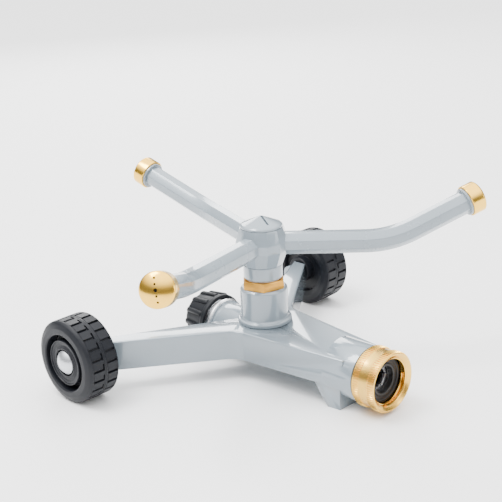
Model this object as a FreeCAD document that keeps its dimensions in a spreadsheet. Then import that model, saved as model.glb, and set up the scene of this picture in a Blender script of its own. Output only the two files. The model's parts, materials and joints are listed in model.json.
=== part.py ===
import FreeCAD, Part
import math
import os
import Sketcher
from FreeCAD import Placement, Rotation, Vector

# Three-arm rotary lawn sprinkler on a cast base with two wheels and a front foot.
# Millimetres.  Origin on the ground under the rotor's spin axis, +Z up.
# The water pipe lies along Y, with the hose inlet at -Y and the capped outlet at +Y.
# The wheels turn about an axle line parallel to X, behind the rotor.

DIMENSIONS = {
    # ground stance and pipe line
    "pipe_height": 19.0,
    "wheel_radius": 24.0,
    "wheel_inner_face": 85.5,
    "wheel_width": 21.4,
    "wheel_back": 52.2,
    # base casting
    "base_top": 30.0,
    "base_bottom": 12.8,
    "deck_thickness": 3.0,
    "web_thickness": 2.8,
    "leg_end": 83.2,
    "leg_front_end": 45.7,
    "leg_back_end": 55.7,
    "crotch_half": 23.2,
    "crotch_forward": 0.9,
    "back_crotch": 8.9,
    "inlet_tip_half": 14.2,
    "inlet_tip": 72.0,
    "crotch_radius": 14.0,
    "edge_round": 1.0,
    "barrel_radius": 16.0,
    "barrel_start": 58.5,
    "barrel_end": 79.0,
    "rear_barrel_radius": 12.7,
    "rear_barrel_end": 33.0,
    "channel_radius": 9.6,
    "water_bore": 7.0,
    "fitting_radius": 9.0,
    "fitting_depth": 9.5,
    "foot_front": 70.0,
    "foot_back": 62.0,
    "foot_root": 52.5,
    "axle_boss_radius": 4.9,
    "axle_boss_start": 75.0,
    # riser post
    "post_radius": 13.7,
    "post_top": 51.4,
    "post_chamfer": 1.5,
    "bead_radius": 15.8,
    "bead_height": 2.4,
    "spigot_radius": 10.5,
    "spigot_bottom": 21.0,
    "post_bore": 8.0,
    # spindle and bearing
    "shank_bottom": 41.0,
    "hex_flats": 22.8,
    "hex_top": 56.5,
    "hex_turn": 46.3,
    "journal_radius": 6.5,
    "journal_top": 82.6,
    "spindle_thread_radius": 4.6,
    "spindle_top": 87.2,
    "spindle_bore": 4.0,
    "port_radius": 2.4,
    "running_gap": 0.06,
    "washer_thickness": 0.6,
    # rotor
    "collar_radius": 11.4,
    "collar_top": 65.1,
    "bush_radius": 8.6,
    "bush_top": 70.0,
    "chamber_radius": 9.6,
    "chamber_top": 80.4,
    "crown_bore": 9.2,
    "hub_top": 87.0,
    "hub_belt_top": 79.2,
    "hub_belt_bottom": 74.2,
    "hub_belt_radius": 15.2,
    "hub_crown_radius": 12.7,
    "hub_foot_radius": 11.8,
    "hub_turn": 12.4,
    "arm_height": 77.0,
    "arm_flats": 12.4,
    "arm_start": 11.6,
    "arm_bore": 4.2,
    "arm_spigot": 5.0,
    "arm_reach": 72.9,
    "arm_tip": 50.4,
    "bend_radius": 55.0,
    "bend_angle": 29.5,
    "bend_clocking": 40.0,
    "first_arm_angle": -48.0,
    "cap_radius": 12.1,
    "cap_rim_top": 88.5,
    "cap_apex": 94.0,
    "slot_width": 0.9,
    "slot_length": 15.0,
    # nozzle caps
    "nozzle_radius": 9.1,
    "nozzle_skirt": 8.3,
    "nozzle_dome": 2.6,
    "spray_hole": 0.95,
    "side_hole": 0.55,
    "hole_spacing": 2.95,
    # hose couplings
    "nut_radius": 17.0,
    "nut_waist": 16.4,
    "nut_rear": 79.7,
    "nut_length": 15.2,
    "nut_thread_radius": 12.35,
    "nut_mouth_radius": 15.4,
    "washer_seat_radius": 13.6,
    "washer_seat_end": 9.8,
    "outlet_ring_radius": 14.4,
    "outlet_thread_radius": 13.35,
    "outlet_cap_start": 37.6,
    "outlet_cap_length": 18.9,
    "outlet_cap_radius": 15.9,
    "outlet_cap_end_radius": 13.7,
    "outlet_rib_height": 0.9,
    # axles
    "axle_radius": 2.5,
    "dome_radius": 6.8,
    "dome_apex": 108.9,
}

ARM_COUNT = 3
TREAD_COUNT = 24
RIB_COUNT = 12
Z_AXIS = Vector(0, 0, 1)


# ------------------------------------------------------------------------------------------
# Sizes that know both their value and the sheet formula they come from
# ------------------------------------------------------------------------------------------

class Size:
    """A length or angle with its number and the formula that ties it to the sheet."""

    def __init__(self, value, formula):
        self.value = value
        self.formula = formula

    def _join(self, other, sign, value, swap=False):
        other = as_size(other)
        left, right = (other, self) if swap else (self, other)
        return Size(value(left.value, right.value), f"({left.formula} {sign} {right.formula})")

    def __add__(self, other):
        return self._join(other, "+", lambda a, b: a + b)

    def __radd__(self, other):
        return self._join(other, "+", lambda a, b: a + b, swap=True)

    def __sub__(self, other):
        return self._join(other, "-", lambda a, b: a - b)

    def __rsub__(self, other):
        return self._join(other, "-", lambda a, b: a - b, swap=True)

    def __mul__(self, other):
        return self._join(other, "*", lambda a, b: a * b)

    def __rmul__(self, other):
        return self._join(other, "*", lambda a, b: a * b, swap=True)

    def __truediv__(self, other):
        return self._join(other, "/", lambda a, b: a / b)

    def __neg__(self):
        return self * -1


def as_size(number):
    return number if isinstance(number, Size) else Size(float(number), repr(float(number)))


def sine(angle):
    return Size(math.sin(math.radians(angle.value)), f"sin({angle.formula})")


def cosine(angle):
    return Size(math.cos(math.radians(angle.value)), f"cos({angle.formula})")


def tangent(angle):
    return Size(math.tan(math.radians(angle.value)), f"tan({angle.formula})")


class Sheet:
    """Reads a driving dimension by its name, as in dim.post_radius."""

    def __getattr__(self, alias):
        return Size(DIMENSIONS[alias], f"Dims.{alias}")


doc = FreeCAD.newDocument("sprinkler")
sheet = doc.addObject("Spreadsheet::Sheet", "Dims")
for row, (alias, number) in enumerate(DIMENSIONS.items(), start=1):
    sheet.set(f"A{row}", alias)
    sheet.set(f"B{row}", str(number))
    sheet.setAlias(f"B{row}", alias)
doc.recompute()
dim = Sheet()


# ------------------------------------------------------------------------------------------
# Building blocks
# ------------------------------------------------------------------------------------------

def bind(target, path, size):
    """Set one property of an object from a size, by its formula."""
    target.setExpression(path, as_size(size).formula)


def place(target, x=0, y=0, z=0, rotation=None):
    """Turn an object, then tie the position of its own origin to the sheet."""
    position = Vector(as_size(x).value, as_size(y).value, as_size(z).value)
    target.Placement = Placement(position, rotation or Rotation())
    for letter, size in (("x", x), ("y", y), ("z", z)):
        if isinstance(size, Size):
            bind(target, f"Placement.Base.{letter}", size)


def pin_point(sketch, line, end, x, y):
    """Fix one end of a line at a place given by two sizes."""
    for letter, axis, size in (("X", -2, as_size(x)), ("Y", -1, as_size(y))):
        if size.value == 0:
            sketch.addConstraint(Sketcher.Constraint("PointOnObject", line, end, axis))
        else:
            rule = Sketcher.Constraint("Distance" + letter, -1, 1, line, end, size.value)
            number = sketch.addConstraint(rule)
            bind(sketch, f"Constraints[{number}]", size)


def add_polygon(sketch, corners):
    """Close a polygon through the corners.  A third number is the radius of an arc to the next
    corner: positive bulges to the left of the way it runs, negative to the right."""
    points = [Vector(as_size(corner[0]).value, as_size(corner[1]).value, 0) for corner in corners]
    first = sketch.GeometryCount
    starts = []
    for index, corner in enumerate(corners):
        start = points[index]
        end = points[(index + 1) % len(points)]
        if len(corner) == 2:
            sketch.addGeometry(Part.LineSegment(start, end), False)
            starts.append(1)
            continue
        radius = as_size(corner[2]).value
        chord = end - start
        left = Vector(-chord.y, chord.x, 0).normalize()
        rise = abs(radius) - math.sqrt(max(radius ** 2 - chord.Length ** 2 / 4, 0))
        middle = (start + end) * 0.5 + left * math.copysign(rise, radius)
        number = sketch.addGeometry(Part.Arc(start, middle, end), False)
        forward = sketch.getPoint(number, 1).distanceToPoint(start) < 1e-6
        starts.append(1 if forward else 2)
        rule = sketch.addConstraint(Sketcher.Constraint("Radius", number, abs(radius)))
        size = as_size(corner[2])
        bind(sketch, f"Constraints[{rule}]", size if radius > 0 else -size)
    for index, corner in enumerate(corners):
        after = (index + 1) % len(corners)
        here_end = 3 - starts[index]
        rule = Sketcher.Constraint("Coincident", first + index, here_end, first + after, starts[after])
        sketch.addConstraint(rule)
        pin_point(sketch, first + index, starts[index], corner[0], corner[1])


def add_circle(sketch, radius, x=0, y=0):
    centre = Vector(as_size(x).value, as_size(y).value, 0)
    number = sketch.addGeometry(Part.Circle(centre, Z_AXIS, radius.value), False)
    rule = sketch.addConstraint(Sketcher.Constraint("Radius", number, radius.value))
    bind(sketch, f"Constraints[{rule}]", radius)
    pin_point(sketch, number, 3, x, y)


def regular_corners(count, across_flats, turn=0.0):
    """Corners of a regular polygon, first corner at the angle turn (degrees)."""
    reach = across_flats / 2 / math.cos(math.pi / count)
    angles = [math.radians(turn + 360.0 * step / count) for step in range(count)]
    return [(reach * math.cos(angle), reach * math.sin(angle)) for angle in angles]


def new_sketch(body, plane, name, offset=None):
    """An empty sketch on one of the body's own origin planes, moved along its normal."""
    sketch = body.newObject("Sketcher::SketchObject", name)
    origin_plane = [item for item in body.Origin.OriginFeatures if item.Role == plane][0]
    sketch.AttachmentSupport = [(origin_plane, "")]
    sketch.MapMode = "FlatFace"
    if offset is not None:
        bind(sketch, "AttachmentOffset.Base.z", offset)
    return sketch


def new_body(label):
    body = doc.addObject("PartDesign::Body", label)
    body.Label = label
    return body


def revolve(body, corners, name="Revolution"):
    """Turn a profile of (radius, height) corners about the body's own Z axis."""
    sketch = new_sketch(body, "XZ_Plane", name + "Profile")
    add_polygon(sketch, corners)
    turned = body.newObject("PartDesign::Revolution", name)
    turned.Profile = (sketch, [""])
    turned.ReferenceAxis = (sketch, ["V_Axis"])
    turned.Angle = 360
    return turned


def turned(label, corners):
    body = new_body(label)
    revolve(body, corners)
    return body


def ring(label, inner, outer, bottom, top):
    """A plain ring: washer, bush or seal."""
    corners = [(inner, bottom), (outer, bottom), (outer, top), (inner, top)]
    return turned(label, corners)


def pad_up(body, sketch, length, name):
    """Pad a sketch along its normal."""
    pad = body.newObject("PartDesign::Pad", name)
    pad.Profile = (sketch, [""])
    bind(pad, "Length", length)
    return pad


def pocket_up(body, sketch, length, name):
    """Cut a sketch along its normal, away from the sketch plane."""
    pocket = body.newObject("PartDesign::Pocket", name)
    pocket.Profile = (sketch, [""])
    pocket.Reversed = True
    bind(pocket, "Length", length)
    return pocket


def repeat_round(body, feature, count, name):
    """Repeat a feature evenly about the body's Z axis."""
    pattern = body.newObject("PartDesign::PolarPattern", name)
    pattern.Originals = [feature]
    z_line = [item for item in body.Origin.OriginFeatures if item.Role == "Z_Axis"][0]
    pattern.Axis = (z_line, [""])
    pattern.Angle = 360
    pattern.Occurrences = count
    body.Tip = pattern
    return pattern


def cylinder(name, radius, length, x=0, y=0, z=0, towards=Z_AXIS):
    """A cylinder that starts at a point and runs in one direction."""
    solid = doc.addObject("Part::Cylinder", name)
    bind(solid, "Radius", radius)
    bind(solid, "Height", length)
    place(solid, x, y, z, Rotation(Z_AXIS, towards))
    return solid


def fuse(name, solids):
    joined = doc.addObject("Part::MultiFuse", name)
    joined.Shapes = solids
    joined.Refine = False
    return joined


def cut(name, base, tool):
    result = doc.addObject("Part::Cut", name)
    result.Base = base
    result.Tool = tool
    result.Refine = True
    return result


def arm_angle(index):
    """Direction of an arm seen from above, in degrees from +X."""
    return DIMENSIONS["first_arm_angle"] + 360.0 / ARM_COUNT * index


# ------------------------------------------------------------------------------------------
# Base casting: a Y-shaped box section, open below, with pipe barrels, post socket and foot
# ------------------------------------------------------------------------------------------

def base_outline():
    """Outline of the three legs seen from above, one half and its mirror image."""
    right = [
        (dim.inlet_tip_half, -dim.inlet_tip),
        (dim.crotch_half, dim.crotch_forward),
        (dim.leg_end, dim.leg_front_end),
        (dim.leg_end, dim.leg_back_end),
    ]
    left = [(-x, y) for x, y in reversed(right)]
    return right + [(0, dim.back_crotch)] + left


def upright_edges(shape, corners):
    """Names of the upright edges at the given corners of an outline."""
    names = []
    for number, edge in enumerate(shape.Edges, start=1):
        start, end = edge.Vertexes[0].Point, edge.Vertexes[-1].Point
        upright = abs(start.x - end.x) < 1e-6 and abs(start.y - end.y) < 1e-6
        for x, y in corners:
            at_corner = math.hypot(start.x - as_size(x).value, start.y - as_size(y).value) < 1e-3
            if upright and at_corner:
                names.append(f"Edge{number}")
    return names


def outline_block(label, bottom, height):
    """The outline padded to a block whose inner corners are well rounded."""
    body = new_body(label)
    sketch = new_sketch(body, "XY_Plane", label + "Outline", bottom)
    outline = base_outline()
    add_polygon(sketch, outline)
    pad = pad_up(body, sketch, height, label + "Pad")
    doc.recompute()
    crotches = [outline[1], outline[-2]]
    fillet = body.newObject("PartDesign::Fillet", label + "Crotches")
    fillet.Base = (pad, upright_edges(pad.Shape, crotches))
    bind(fillet, "Radius", dim.crotch_radius)
    doc.recompute()
    return body, fillet


def round_top(body, feature, top, name):
    """Round the whole rim of the top face."""
    names = []
    for number, edge in enumerate(feature.Shape.Edges, start=1):
        if abs(edge.BoundBox.ZMin - top) < 1e-4 and abs(edge.BoundBox.ZMax - top) < 1e-4:
            names.append(f"Edge{number}")
    rounding = body.newObject("PartDesign::Fillet", name)
    rounding.Base = (feature, names)
    bind(rounding, "Radius", dim.edge_round)


def make_base_casting():
    legs, rounded = outline_block("legs_block", dim.base_bottom, dim.base_top - dim.base_bottom)
    round_top(legs, rounded, DIMENSIONS["base_top"], "legs_top_round")

    # hollow underside, one wall thickness inside the outline
    hollow_line = doc.addObject("Sketcher::SketchObject", "hollow_outline")
    add_polygon(hollow_line, base_outline())
    inset = doc.addObject("Part::Offset2D", "hollow_inset")
    inset.Source = hollow_line
    bind(inset, "Value", -dim.web_thickness)
    inset.Join = 2
    hollow = doc.addObject("Part::Extrusion", "hollow")
    hollow.Base = inset
    hollow.DirMode = "Normal"
    hollow.Solid = True
    bind(hollow, "LengthFwd", dim.base_top - dim.deck_thickness)
    shell = cut("legs_shell", legs, hollow)

    # front foot, flush with the sides of the inlet leg
    column, _ = outline_block("foot_column", as_size(0), dim.base_bottom + 1)
    profile = new_body("foot_profile")
    side = new_sketch(profile, "YZ_Plane", "foot_side", -dim.barrel_radius)
    add_polygon(side, [
        (-dim.foot_front, 0),
        (-dim.foot_back, 0),
        (-dim.foot_root, dim.base_bottom + 1),
        (-dim.foot_front, dim.base_bottom + 1),
    ])
    pad_up(profile, side, dim.barrel_radius * 2, "foot_pad")
    foot = doc.addObject("Part::Common", "foot")
    foot.Base = column
    foot.Tool = profile

    # pipe barrels, water channel, post socket and axle bosses
    forward, back = Vector(0, -1, 0), Vector(0, 1, 0)
    pipe = dim.pipe_height
    solids = [
        shell,
        foot,
        cylinder("inlet_barrel", dim.barrel_radius, dim.barrel_end - dim.barrel_start,
                 y=-dim.barrel_start, z=pipe, towards=forward),
        cylinder("inlet_channel", dim.channel_radius, dim.barrel_start + 1, z=pipe, towards=forward),
        cylinder("outlet_channel", dim.rear_barrel_radius, dim.rear_barrel_end, z=pipe, towards=back),
        cylinder("post_socket", dim.post_radius, dim.base_top - dim.base_bottom, z=dim.base_bottom),
    ]
    for name, direction in (("left", -1), ("right", 1)):
        solids.append(cylinder(name + "_axle_boss", dim.axle_boss_radius, dim.leg_end - dim.axle_boss_start,
                               x=dim.axle_boss_start * direction, y=dim.wheel_back, z=dim.wheel_radius,
                               towards=Vector(direction, 0, 0)))
    casting = fuse("casting_solid", solids)

    # water ways and the seats of the post, the two pipe fittings and the axles
    whole_pipe = dim.barrel_end + dim.rear_barrel_end
    depth = dim.fitting_depth
    holes = [
        cylinder("water_way", dim.water_bore, whole_pipe, y=dim.rear_barrel_end, z=pipe, towards=forward),
        cylinder("inlet_seat", dim.fitting_radius, depth, y=depth - dim.barrel_end, z=pipe, towards=forward),
        cylinder("outlet_seat", dim.fitting_radius, depth, y=dim.rear_barrel_end - depth, z=pipe,
                 towards=back),
        cylinder("post_seat", dim.spigot_radius, dim.base_top - dim.spigot_bottom, z=dim.spigot_bottom),
        cylinder("bead_seat", dim.bead_radius + 0.1, dim.bead_height, z=dim.base_top),
        cylinder("riser_way", dim.water_bore, dim.spigot_bottom - pipe, z=pipe),
    ]
    for name, direction in (("left", -1), ("right", 1)):
        holes.append(cylinder(name + "_axle_seat", dim.axle_radius, dim.leg_end - dim.axle_boss_start,
                              x=dim.axle_boss_start * direction, y=dim.wheel_back, z=dim.wheel_radius,
                              towards=Vector(direction, 0, 0)))
    return cut("base_casting", casting, fuse("casting_holes", holes))


# ------------------------------------------------------------------------------------------
# Riser post, spindle and the washers the rotor runs on
# ------------------------------------------------------------------------------------------

def make_riser_post():
    bead = dim.bead_height / 2
    return turned("riser_post", [
        (dim.post_bore, dim.spigot_bottom),
        (dim.spigot_radius, dim.spigot_bottom),
        (dim.spigot_radius, dim.base_top),
        (dim.bead_radius - bead, dim.base_top),
        (dim.bead_radius - bead, dim.base_top + dim.bead_height, -bead),
        (dim.post_radius, dim.base_top + dim.bead_height),
        (dim.post_radius, dim.post_top - dim.post_chamfer),
        (dim.post_radius - dim.post_chamfer, dim.post_top),
        (dim.post_bore, dim.post_top),
    ])


def make_spindle():
    """Hollow brass spindle: shank, hexagon, journal with water ports, threaded top."""
    body = new_body("spindle")
    wall = dim.spindle_bore
    revolve(body, [
        (wall, dim.shank_bottom),
        (dim.post_bore, dim.shank_bottom),
        (dim.post_bore, dim.post_top),
        (dim.journal_radius, dim.post_top),
        (dim.journal_radius, dim.journal_top),
        (dim.spindle_thread_radius, dim.journal_top),
        (dim.spindle_thread_radius, dim.spindle_top),
        (0, dim.spindle_top),
        (0, dim.chamber_top),
        (wall, dim.chamber_top),
    ])
    hexagon = new_sketch(body, "XY_Plane", "hexagon", dim.post_top)
    add_polygon(hexagon, regular_corners(6, DIMENSIONS["hex_flats"], DIMENSIONS["hex_turn"]))
    add_circle(hexagon, dim.spindle_bore + 0.5)
    pad_up(body, hexagon, dim.hex_top - dim.post_top, "hexagon_pad")
    doc.recompute()
    port = new_sketch(body, "YZ_Plane", "port")
    add_circle(port, dim.port_radius, 0, dim.arm_height)
    drilled = pocket_up(body, port, dim.journal_radius + 1, "port_hole")
    repeat_round(body, drilled, ARM_COUNT, "ports")
    return body


def make_bearing_parts():
    journal = dim.journal_radius
    running = journal + dim.running_gap
    thick = dim.washer_thickness
    lower = ring("lower_thrust_washer", running, dim.collar_radius - 0.9, dim.hex_top, dim.hex_top + thick)
    bush = ring("bearing_bush", running, dim.bush_radius, dim.hex_top + thick, dim.bush_top)
    seal = ring("rotor_seal", running, dim.chamber_radius - 0.1, dim.bush_top, dim.bush_top + 2.2)
    upper = ring("upper_thrust_washer", dim.spindle_thread_radius, dim.crown_bore - 0.4,
                 dim.journal_top + 0.05, dim.journal_top + 0.05 + thick)
    nut = new_body("spindle_nut")
    start = dim.journal_top + 0.05 + thick
    faces = new_sketch(nut, "XY_Plane", "nut_faces", start)
    add_polygon(faces, regular_corners(6, 13.0))
    add_circle(faces, dim.spindle_thread_radius)
    pad_up(nut, faces, dim.spindle_top - 0.5 - start, "nut_pad")
    return [lower, bush, seal, upper, nut]


# ------------------------------------------------------------------------------------------
# Rotor: collar, twelve-sided hub, cap and three bent arms
# ------------------------------------------------------------------------------------------

def make_hub_collar():
    return ring("hub_collar", dim.bush_radius, dim.collar_radius,
                dim.hex_top + dim.washer_thickness, dim.collar_top)


def make_rotor_hub():
    """Twelve flats, widest at a belt where the arms enter, tapering above and below."""
    sections = [
        (dim.collar_top, dim.hub_foot_radius),
        (dim.hub_belt_bottom, dim.hub_belt_radius),
        (dim.hub_belt_top, dim.hub_belt_radius),
        (dim.hub_top, dim.hub_crown_radius),
    ]
    body = new_body("hub_blank")
    sketches = []
    for number, (level, reach) in enumerate(sections):
        sketch = new_sketch(body, "XY_Plane", f"hub_section_{number}", level)
        flats = reach.value * 2 * math.cos(math.pi / 12)
        add_polygon(sketch, regular_corners(12, flats, DIMENSIONS["hub_turn"] + 15))
        sketches.append(sketch)
    loft = body.newObject("PartDesign::AdditiveLoft", "hub_loft")
    loft.Profile = (sketches[0], [""])
    loft.Sections = [(sketch, [""]) for sketch in sketches[1:]]
    loft.Ruled = True
    doc.recompute()

    # bore: bush seat, water chamber, web that carries the thrust washer, open crown
    bore = body.newObject("PartDesign::Groove", "hub_bore")
    profile = new_sketch(body, "XZ_Plane", "hub_bore_profile")
    add_polygon(profile, [
        (0, dim.collar_top),
        (dim.bush_radius, dim.collar_top),
        (dim.bush_radius, dim.bush_top),
        (dim.chamber_radius, dim.bush_top),
        (dim.chamber_radius, dim.chamber_top),
        (dim.journal_radius + 0.1, dim.chamber_top),
        (dim.journal_radius + 0.1, dim.journal_top),
        (dim.crown_bore, dim.journal_top),
        (dim.crown_bore, dim.hub_top),
        (0, dim.hub_top),
    ])
    bore.Profile = (profile, [""])
    bore.ReferenceAxis = (profile, ["V_Axis"])
    bore.Angle = 360
    body.Tip = bore
    doc.recompute()

    # eight-sided sockets with a round way through to the chamber
    sockets = []
    for index in range(ARM_COUNT):
        turn = Rotation(Z_AXIS, arm_angle(index))
        socket = new_body(f"socket_{index + 1}")
        flats = new_sketch(socket, "YZ_Plane", f"socket_flats_{index + 1}", dim.arm_start)
        add_polygon(flats, regular_corners(8, DIMENSIONS["arm_flats"], 22.5))
        pad_up(socket, flats, dim.hub_belt_radius, f"socket_pad_{index + 1}")
        place(socket, z=dim.arm_height, rotation=turn)
        way = cylinder(f"socket_way_{index + 1}", dim.arm_spigot, dim.arm_start, z=dim.arm_height,
                       towards=turn.multVec(Vector(1, 0, 0)))
        sockets += [socket, way]
    return cut("rotor_hub", body, fuse("sockets", sockets))


def make_hub_cap():
    """Shallow cone with a coin slot and a skirt that plugs the crown of the hub."""
    body = new_body("hub_cap")
    skirt = dim.crown_bore - 0.05
    revolve(body, [
        (dim.spindle_thread_radius + 0.6, dim.hub_top),
        (dim.crown_bore - 1.2, dim.hub_top),
        (dim.crown_bore - 1.2, dim.hub_top - 2.4),
        (skirt, dim.hub_top - 2.4),
        (skirt, dim.hub_top),
        (dim.cap_radius, dim.hub_top),
        (dim.cap_radius, dim.cap_rim_top),
        (0.4, dim.cap_apex),
        (0, dim.cap_apex),
        (0, dim.cap_rim_top),
        (dim.spindle_thread_radius + 0.6, dim.cap_rim_top),
    ])
    slot = new_sketch(body, "XY_Plane", "slot", dim.cap_rim_top + 1.4)
    length, width = dim.slot_length / 2, dim.slot_width / 2
    add_polygon(slot, [(-length, -width), (length, -width), (length, width), (-length, width)])
    pocket_up(body, slot, dim.cap_apex - dim.cap_rim_top, "slot_cut")
    place(body, rotation=Rotation(Z_AXIS, DIMENSIONS["hub_turn"] + 60))
    return body


def arm_spine(sketch):
    """Centreline of an arm in its own plane: straight, one bend, straight."""
    trim = dim.bend_radius * tangent(dim.bend_angle / 2)
    bend_start = dim.arm_reach - trim
    bend_end_x = bend_start + dim.bend_radius * sine(dim.bend_angle)
    bend_end_y = dim.bend_radius - dim.bend_radius * cosine(dim.bend_angle)
    tip_x = dim.arm_reach + dim.arm_tip * cosine(dim.bend_angle)
    tip_y = dim.arm_tip * sine(dim.bend_angle)
    corners = [(dim.arm_start, 0), (bend_start, 0), (bend_end_x, bend_end_y), (tip_x, tip_y)]
    points = [Vector(x.value, as_size(y).value, 0) for x, y in corners]
    angle = math.radians(DIMENSIONS["bend_angle"] / 2)
    radius = DIMENSIONS["bend_radius"]
    middle = Vector(points[1].x + radius * math.sin(angle), radius * (1 - math.cos(angle)), 0)
    sketch.addGeometry(Part.LineSegment(points[0], points[1]), False)
    sketch.addGeometry(Part.Arc(points[1], middle, points[2]), False)
    sketch.addGeometry(Part.LineSegment(points[2], points[3]), False)
    sketch.addConstraint(Sketcher.Constraint("Coincident", 0, 2, 1, 1))
    sketch.addConstraint(Sketcher.Constraint("Coincident", 1, 2, 2, 1))
    rule = sketch.addConstraint(Sketcher.Constraint("Radius", 1, radius))
    bind(sketch, f"Constraints[{rule}]", dim.bend_radius)
    pin_point(sketch, 0, 1, *corners[0])
    pin_point(sketch, 0, 2, *corners[1])
    pin_point(sketch, 2, 1, *corners[2])
    pin_point(sketch, 2, 2, *corners[3])


def arm_frame(index):
    """Placement of an arm's own plane: clocked about the first stretch, turned to its place."""
    clocking = Rotation(Vector(1, 0, 0), DIMENSIONS["bend_clocking"])
    return Rotation(Z_AXIS, arm_angle(index)).multiply(clocking)


def tip_place():
    """Where the nozzle axis starts, in the arm's own plane, and the turn of Z onto that axis."""
    reach, tip = dim.arm_reach, dim.arm_tip
    angle = math.radians(DIMENSIONS["bend_angle"])
    towards = Vector(math.cos(angle), math.sin(angle), 0)
    return (reach + tip * cosine(dim.bend_angle), tip * sine(dim.bend_angle),
            Rotation(Z_AXIS, towards))


def make_arm(index):
    number = index + 1
    tube = new_body(f"arm_tube_{number}")
    spine = new_sketch(tube, "XY_Plane", f"arm_spine_{number}")
    arm_spine(spine)
    outside = new_sketch(tube, "YZ_Plane", f"arm_outside_{number}", dim.arm_start)
    add_polygon(outside, regular_corners(8, DIMENSIONS["arm_flats"], 22.5))
    inside = new_sketch(tube, "YZ_Plane", f"arm_inside_{number}", dim.arm_start)
    add_circle(inside, dim.arm_bore)
    outer = tube.newObject("PartDesign::AdditivePipe", f"arm_outer_{number}")
    outer.Profile = (outside, [""])
    outer.Spine = (spine, [""])
    doc.recompute()
    inner = tube.newObject("PartDesign::SubtractivePipe", f"arm_inner_{number}")
    inner.Profile = (inside, [""])
    inner.Spine = (spine, [""])

    spigot = ring(f"arm_spigot_{number}", dim.arm_bore, dim.arm_spigot,
                  dim.chamber_radius + 0.1, dim.arm_start)
    place(spigot, rotation=Rotation(Z_AXIS, Vector(1, 0, 0)))
    end = turned(f"arm_end_{number}", [
        (dim.arm_bore, 0),
        (dim.arm_bore, 7.0),
        (6.0, 7.0),
        (6.0, 5.6),
        (5.2, 5.6),
        (5.2, 3.8),
        (6.0, 3.8),
        (6.0, 2.4),
        (dim.nozzle_radius - 0.9, 2.4),
        (dim.nozzle_radius - 0.9, -1.2),
        (dim.arm_bore + 1.0, -1.2),
        (dim.arm_bore + 1.0, 0),
    ])
    x, y, turn = tip_place()
    place(end, x, y, rotation=turn)
    arm = fuse(f"arm_{number}", [tube, spigot, end])
    place(arm, z=dim.arm_height, rotation=arm_frame(index))
    return arm


# ------------------------------------------------------------------------------------------
# Nozzle caps and their seals
# ------------------------------------------------------------------------------------------

def nozzle_placement(index):
    """World placement of a nozzle: Z out along the spray axis, origin at the arm's tip."""
    x, y, turn = tip_place()
    arm = Placement(Vector(0, 0, DIMENSIONS["arm_height"]), arm_frame(index))
    return arm.multiply(Placement(Vector(x.value, y.value, 0), turn))


def dome_radius_of(half_width, rise):
    """Radius of the arc through a rim of the given half width and a crown of the given rise."""
    return (half_width * half_width + rise * rise) / (rise * 2)


def make_nozzle_cap(index):
    """Domed cap with one large spray hole and two small ones on either side of it."""
    number = index + 1
    cap = new_body(f"nozzle_cap_{number}")
    outer = dim.nozzle_radius
    crown = dim.nozzle_skirt + dim.nozzle_dome
    revolve(cap, [
        (outer - 0.75, 0),
        (outer, 0),
        (outer, dim.nozzle_skirt - 0.5),
        (outer - 0.5, dim.nozzle_skirt, -dome_radius_of(outer - 0.5, dim.nozzle_dome)),
        (0, crown),
        (0, crown - 1.2),
        (outer - 1.9, dim.nozzle_skirt - 0.3),
        (outer - 1.9, 2.8),
        (outer - 0.75, 2.8),
    ])
    holes = new_sketch(cap, "XY_Plane", f"spray_holes_{number}", dim.nozzle_skirt - 1)
    add_circle(holes, dim.spray_hole)
    for step in (-2, -1, 1, 2):
        add_circle(holes, dim.side_hole, dim.hole_spacing * step, 0)
    pocket_up(cap, holes, dim.nozzle_dome + 2, f"spray_cut_{number}")
    cap.Placement = nozzle_placement(index)
    return cap


def make_nozzle_seal(index):
    seal = new_body(f"nozzle_seal_{index + 1}")
    profile = new_sketch(seal, "XZ_Plane", f"seal_section_{index + 1}")
    add_circle(profile, as_size(0.85), as_size(6.2), as_size(4.7))
    bead = seal.newObject("PartDesign::Revolution", f"seal_ring_{index + 1}")
    bead.Profile = (profile, [""])
    bead.ReferenceAxis = (profile, ["V_Axis"])
    bead.Angle = 360
    seal.Placement = nozzle_placement(index)
    return seal


# ------------------------------------------------------------------------------------------
# Hose couplings: each is drawn along its own Z and laid along the pipe
# ------------------------------------------------------------------------------------------

TO_FRONT = Rotation(Z_AXIS, Vector(0, -1, 0))
TO_BACK = Rotation(Z_AXIS, Vector(0, 1, 0))


def lay_inlet(body):
    place(body, y=-dim.nut_rear, z=dim.pipe_height, rotation=TO_FRONT)
    return body


def lay_outlet(body, start):
    place(body, y=start, z=dim.pipe_height, rotation=TO_BACK)
    return body


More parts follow.
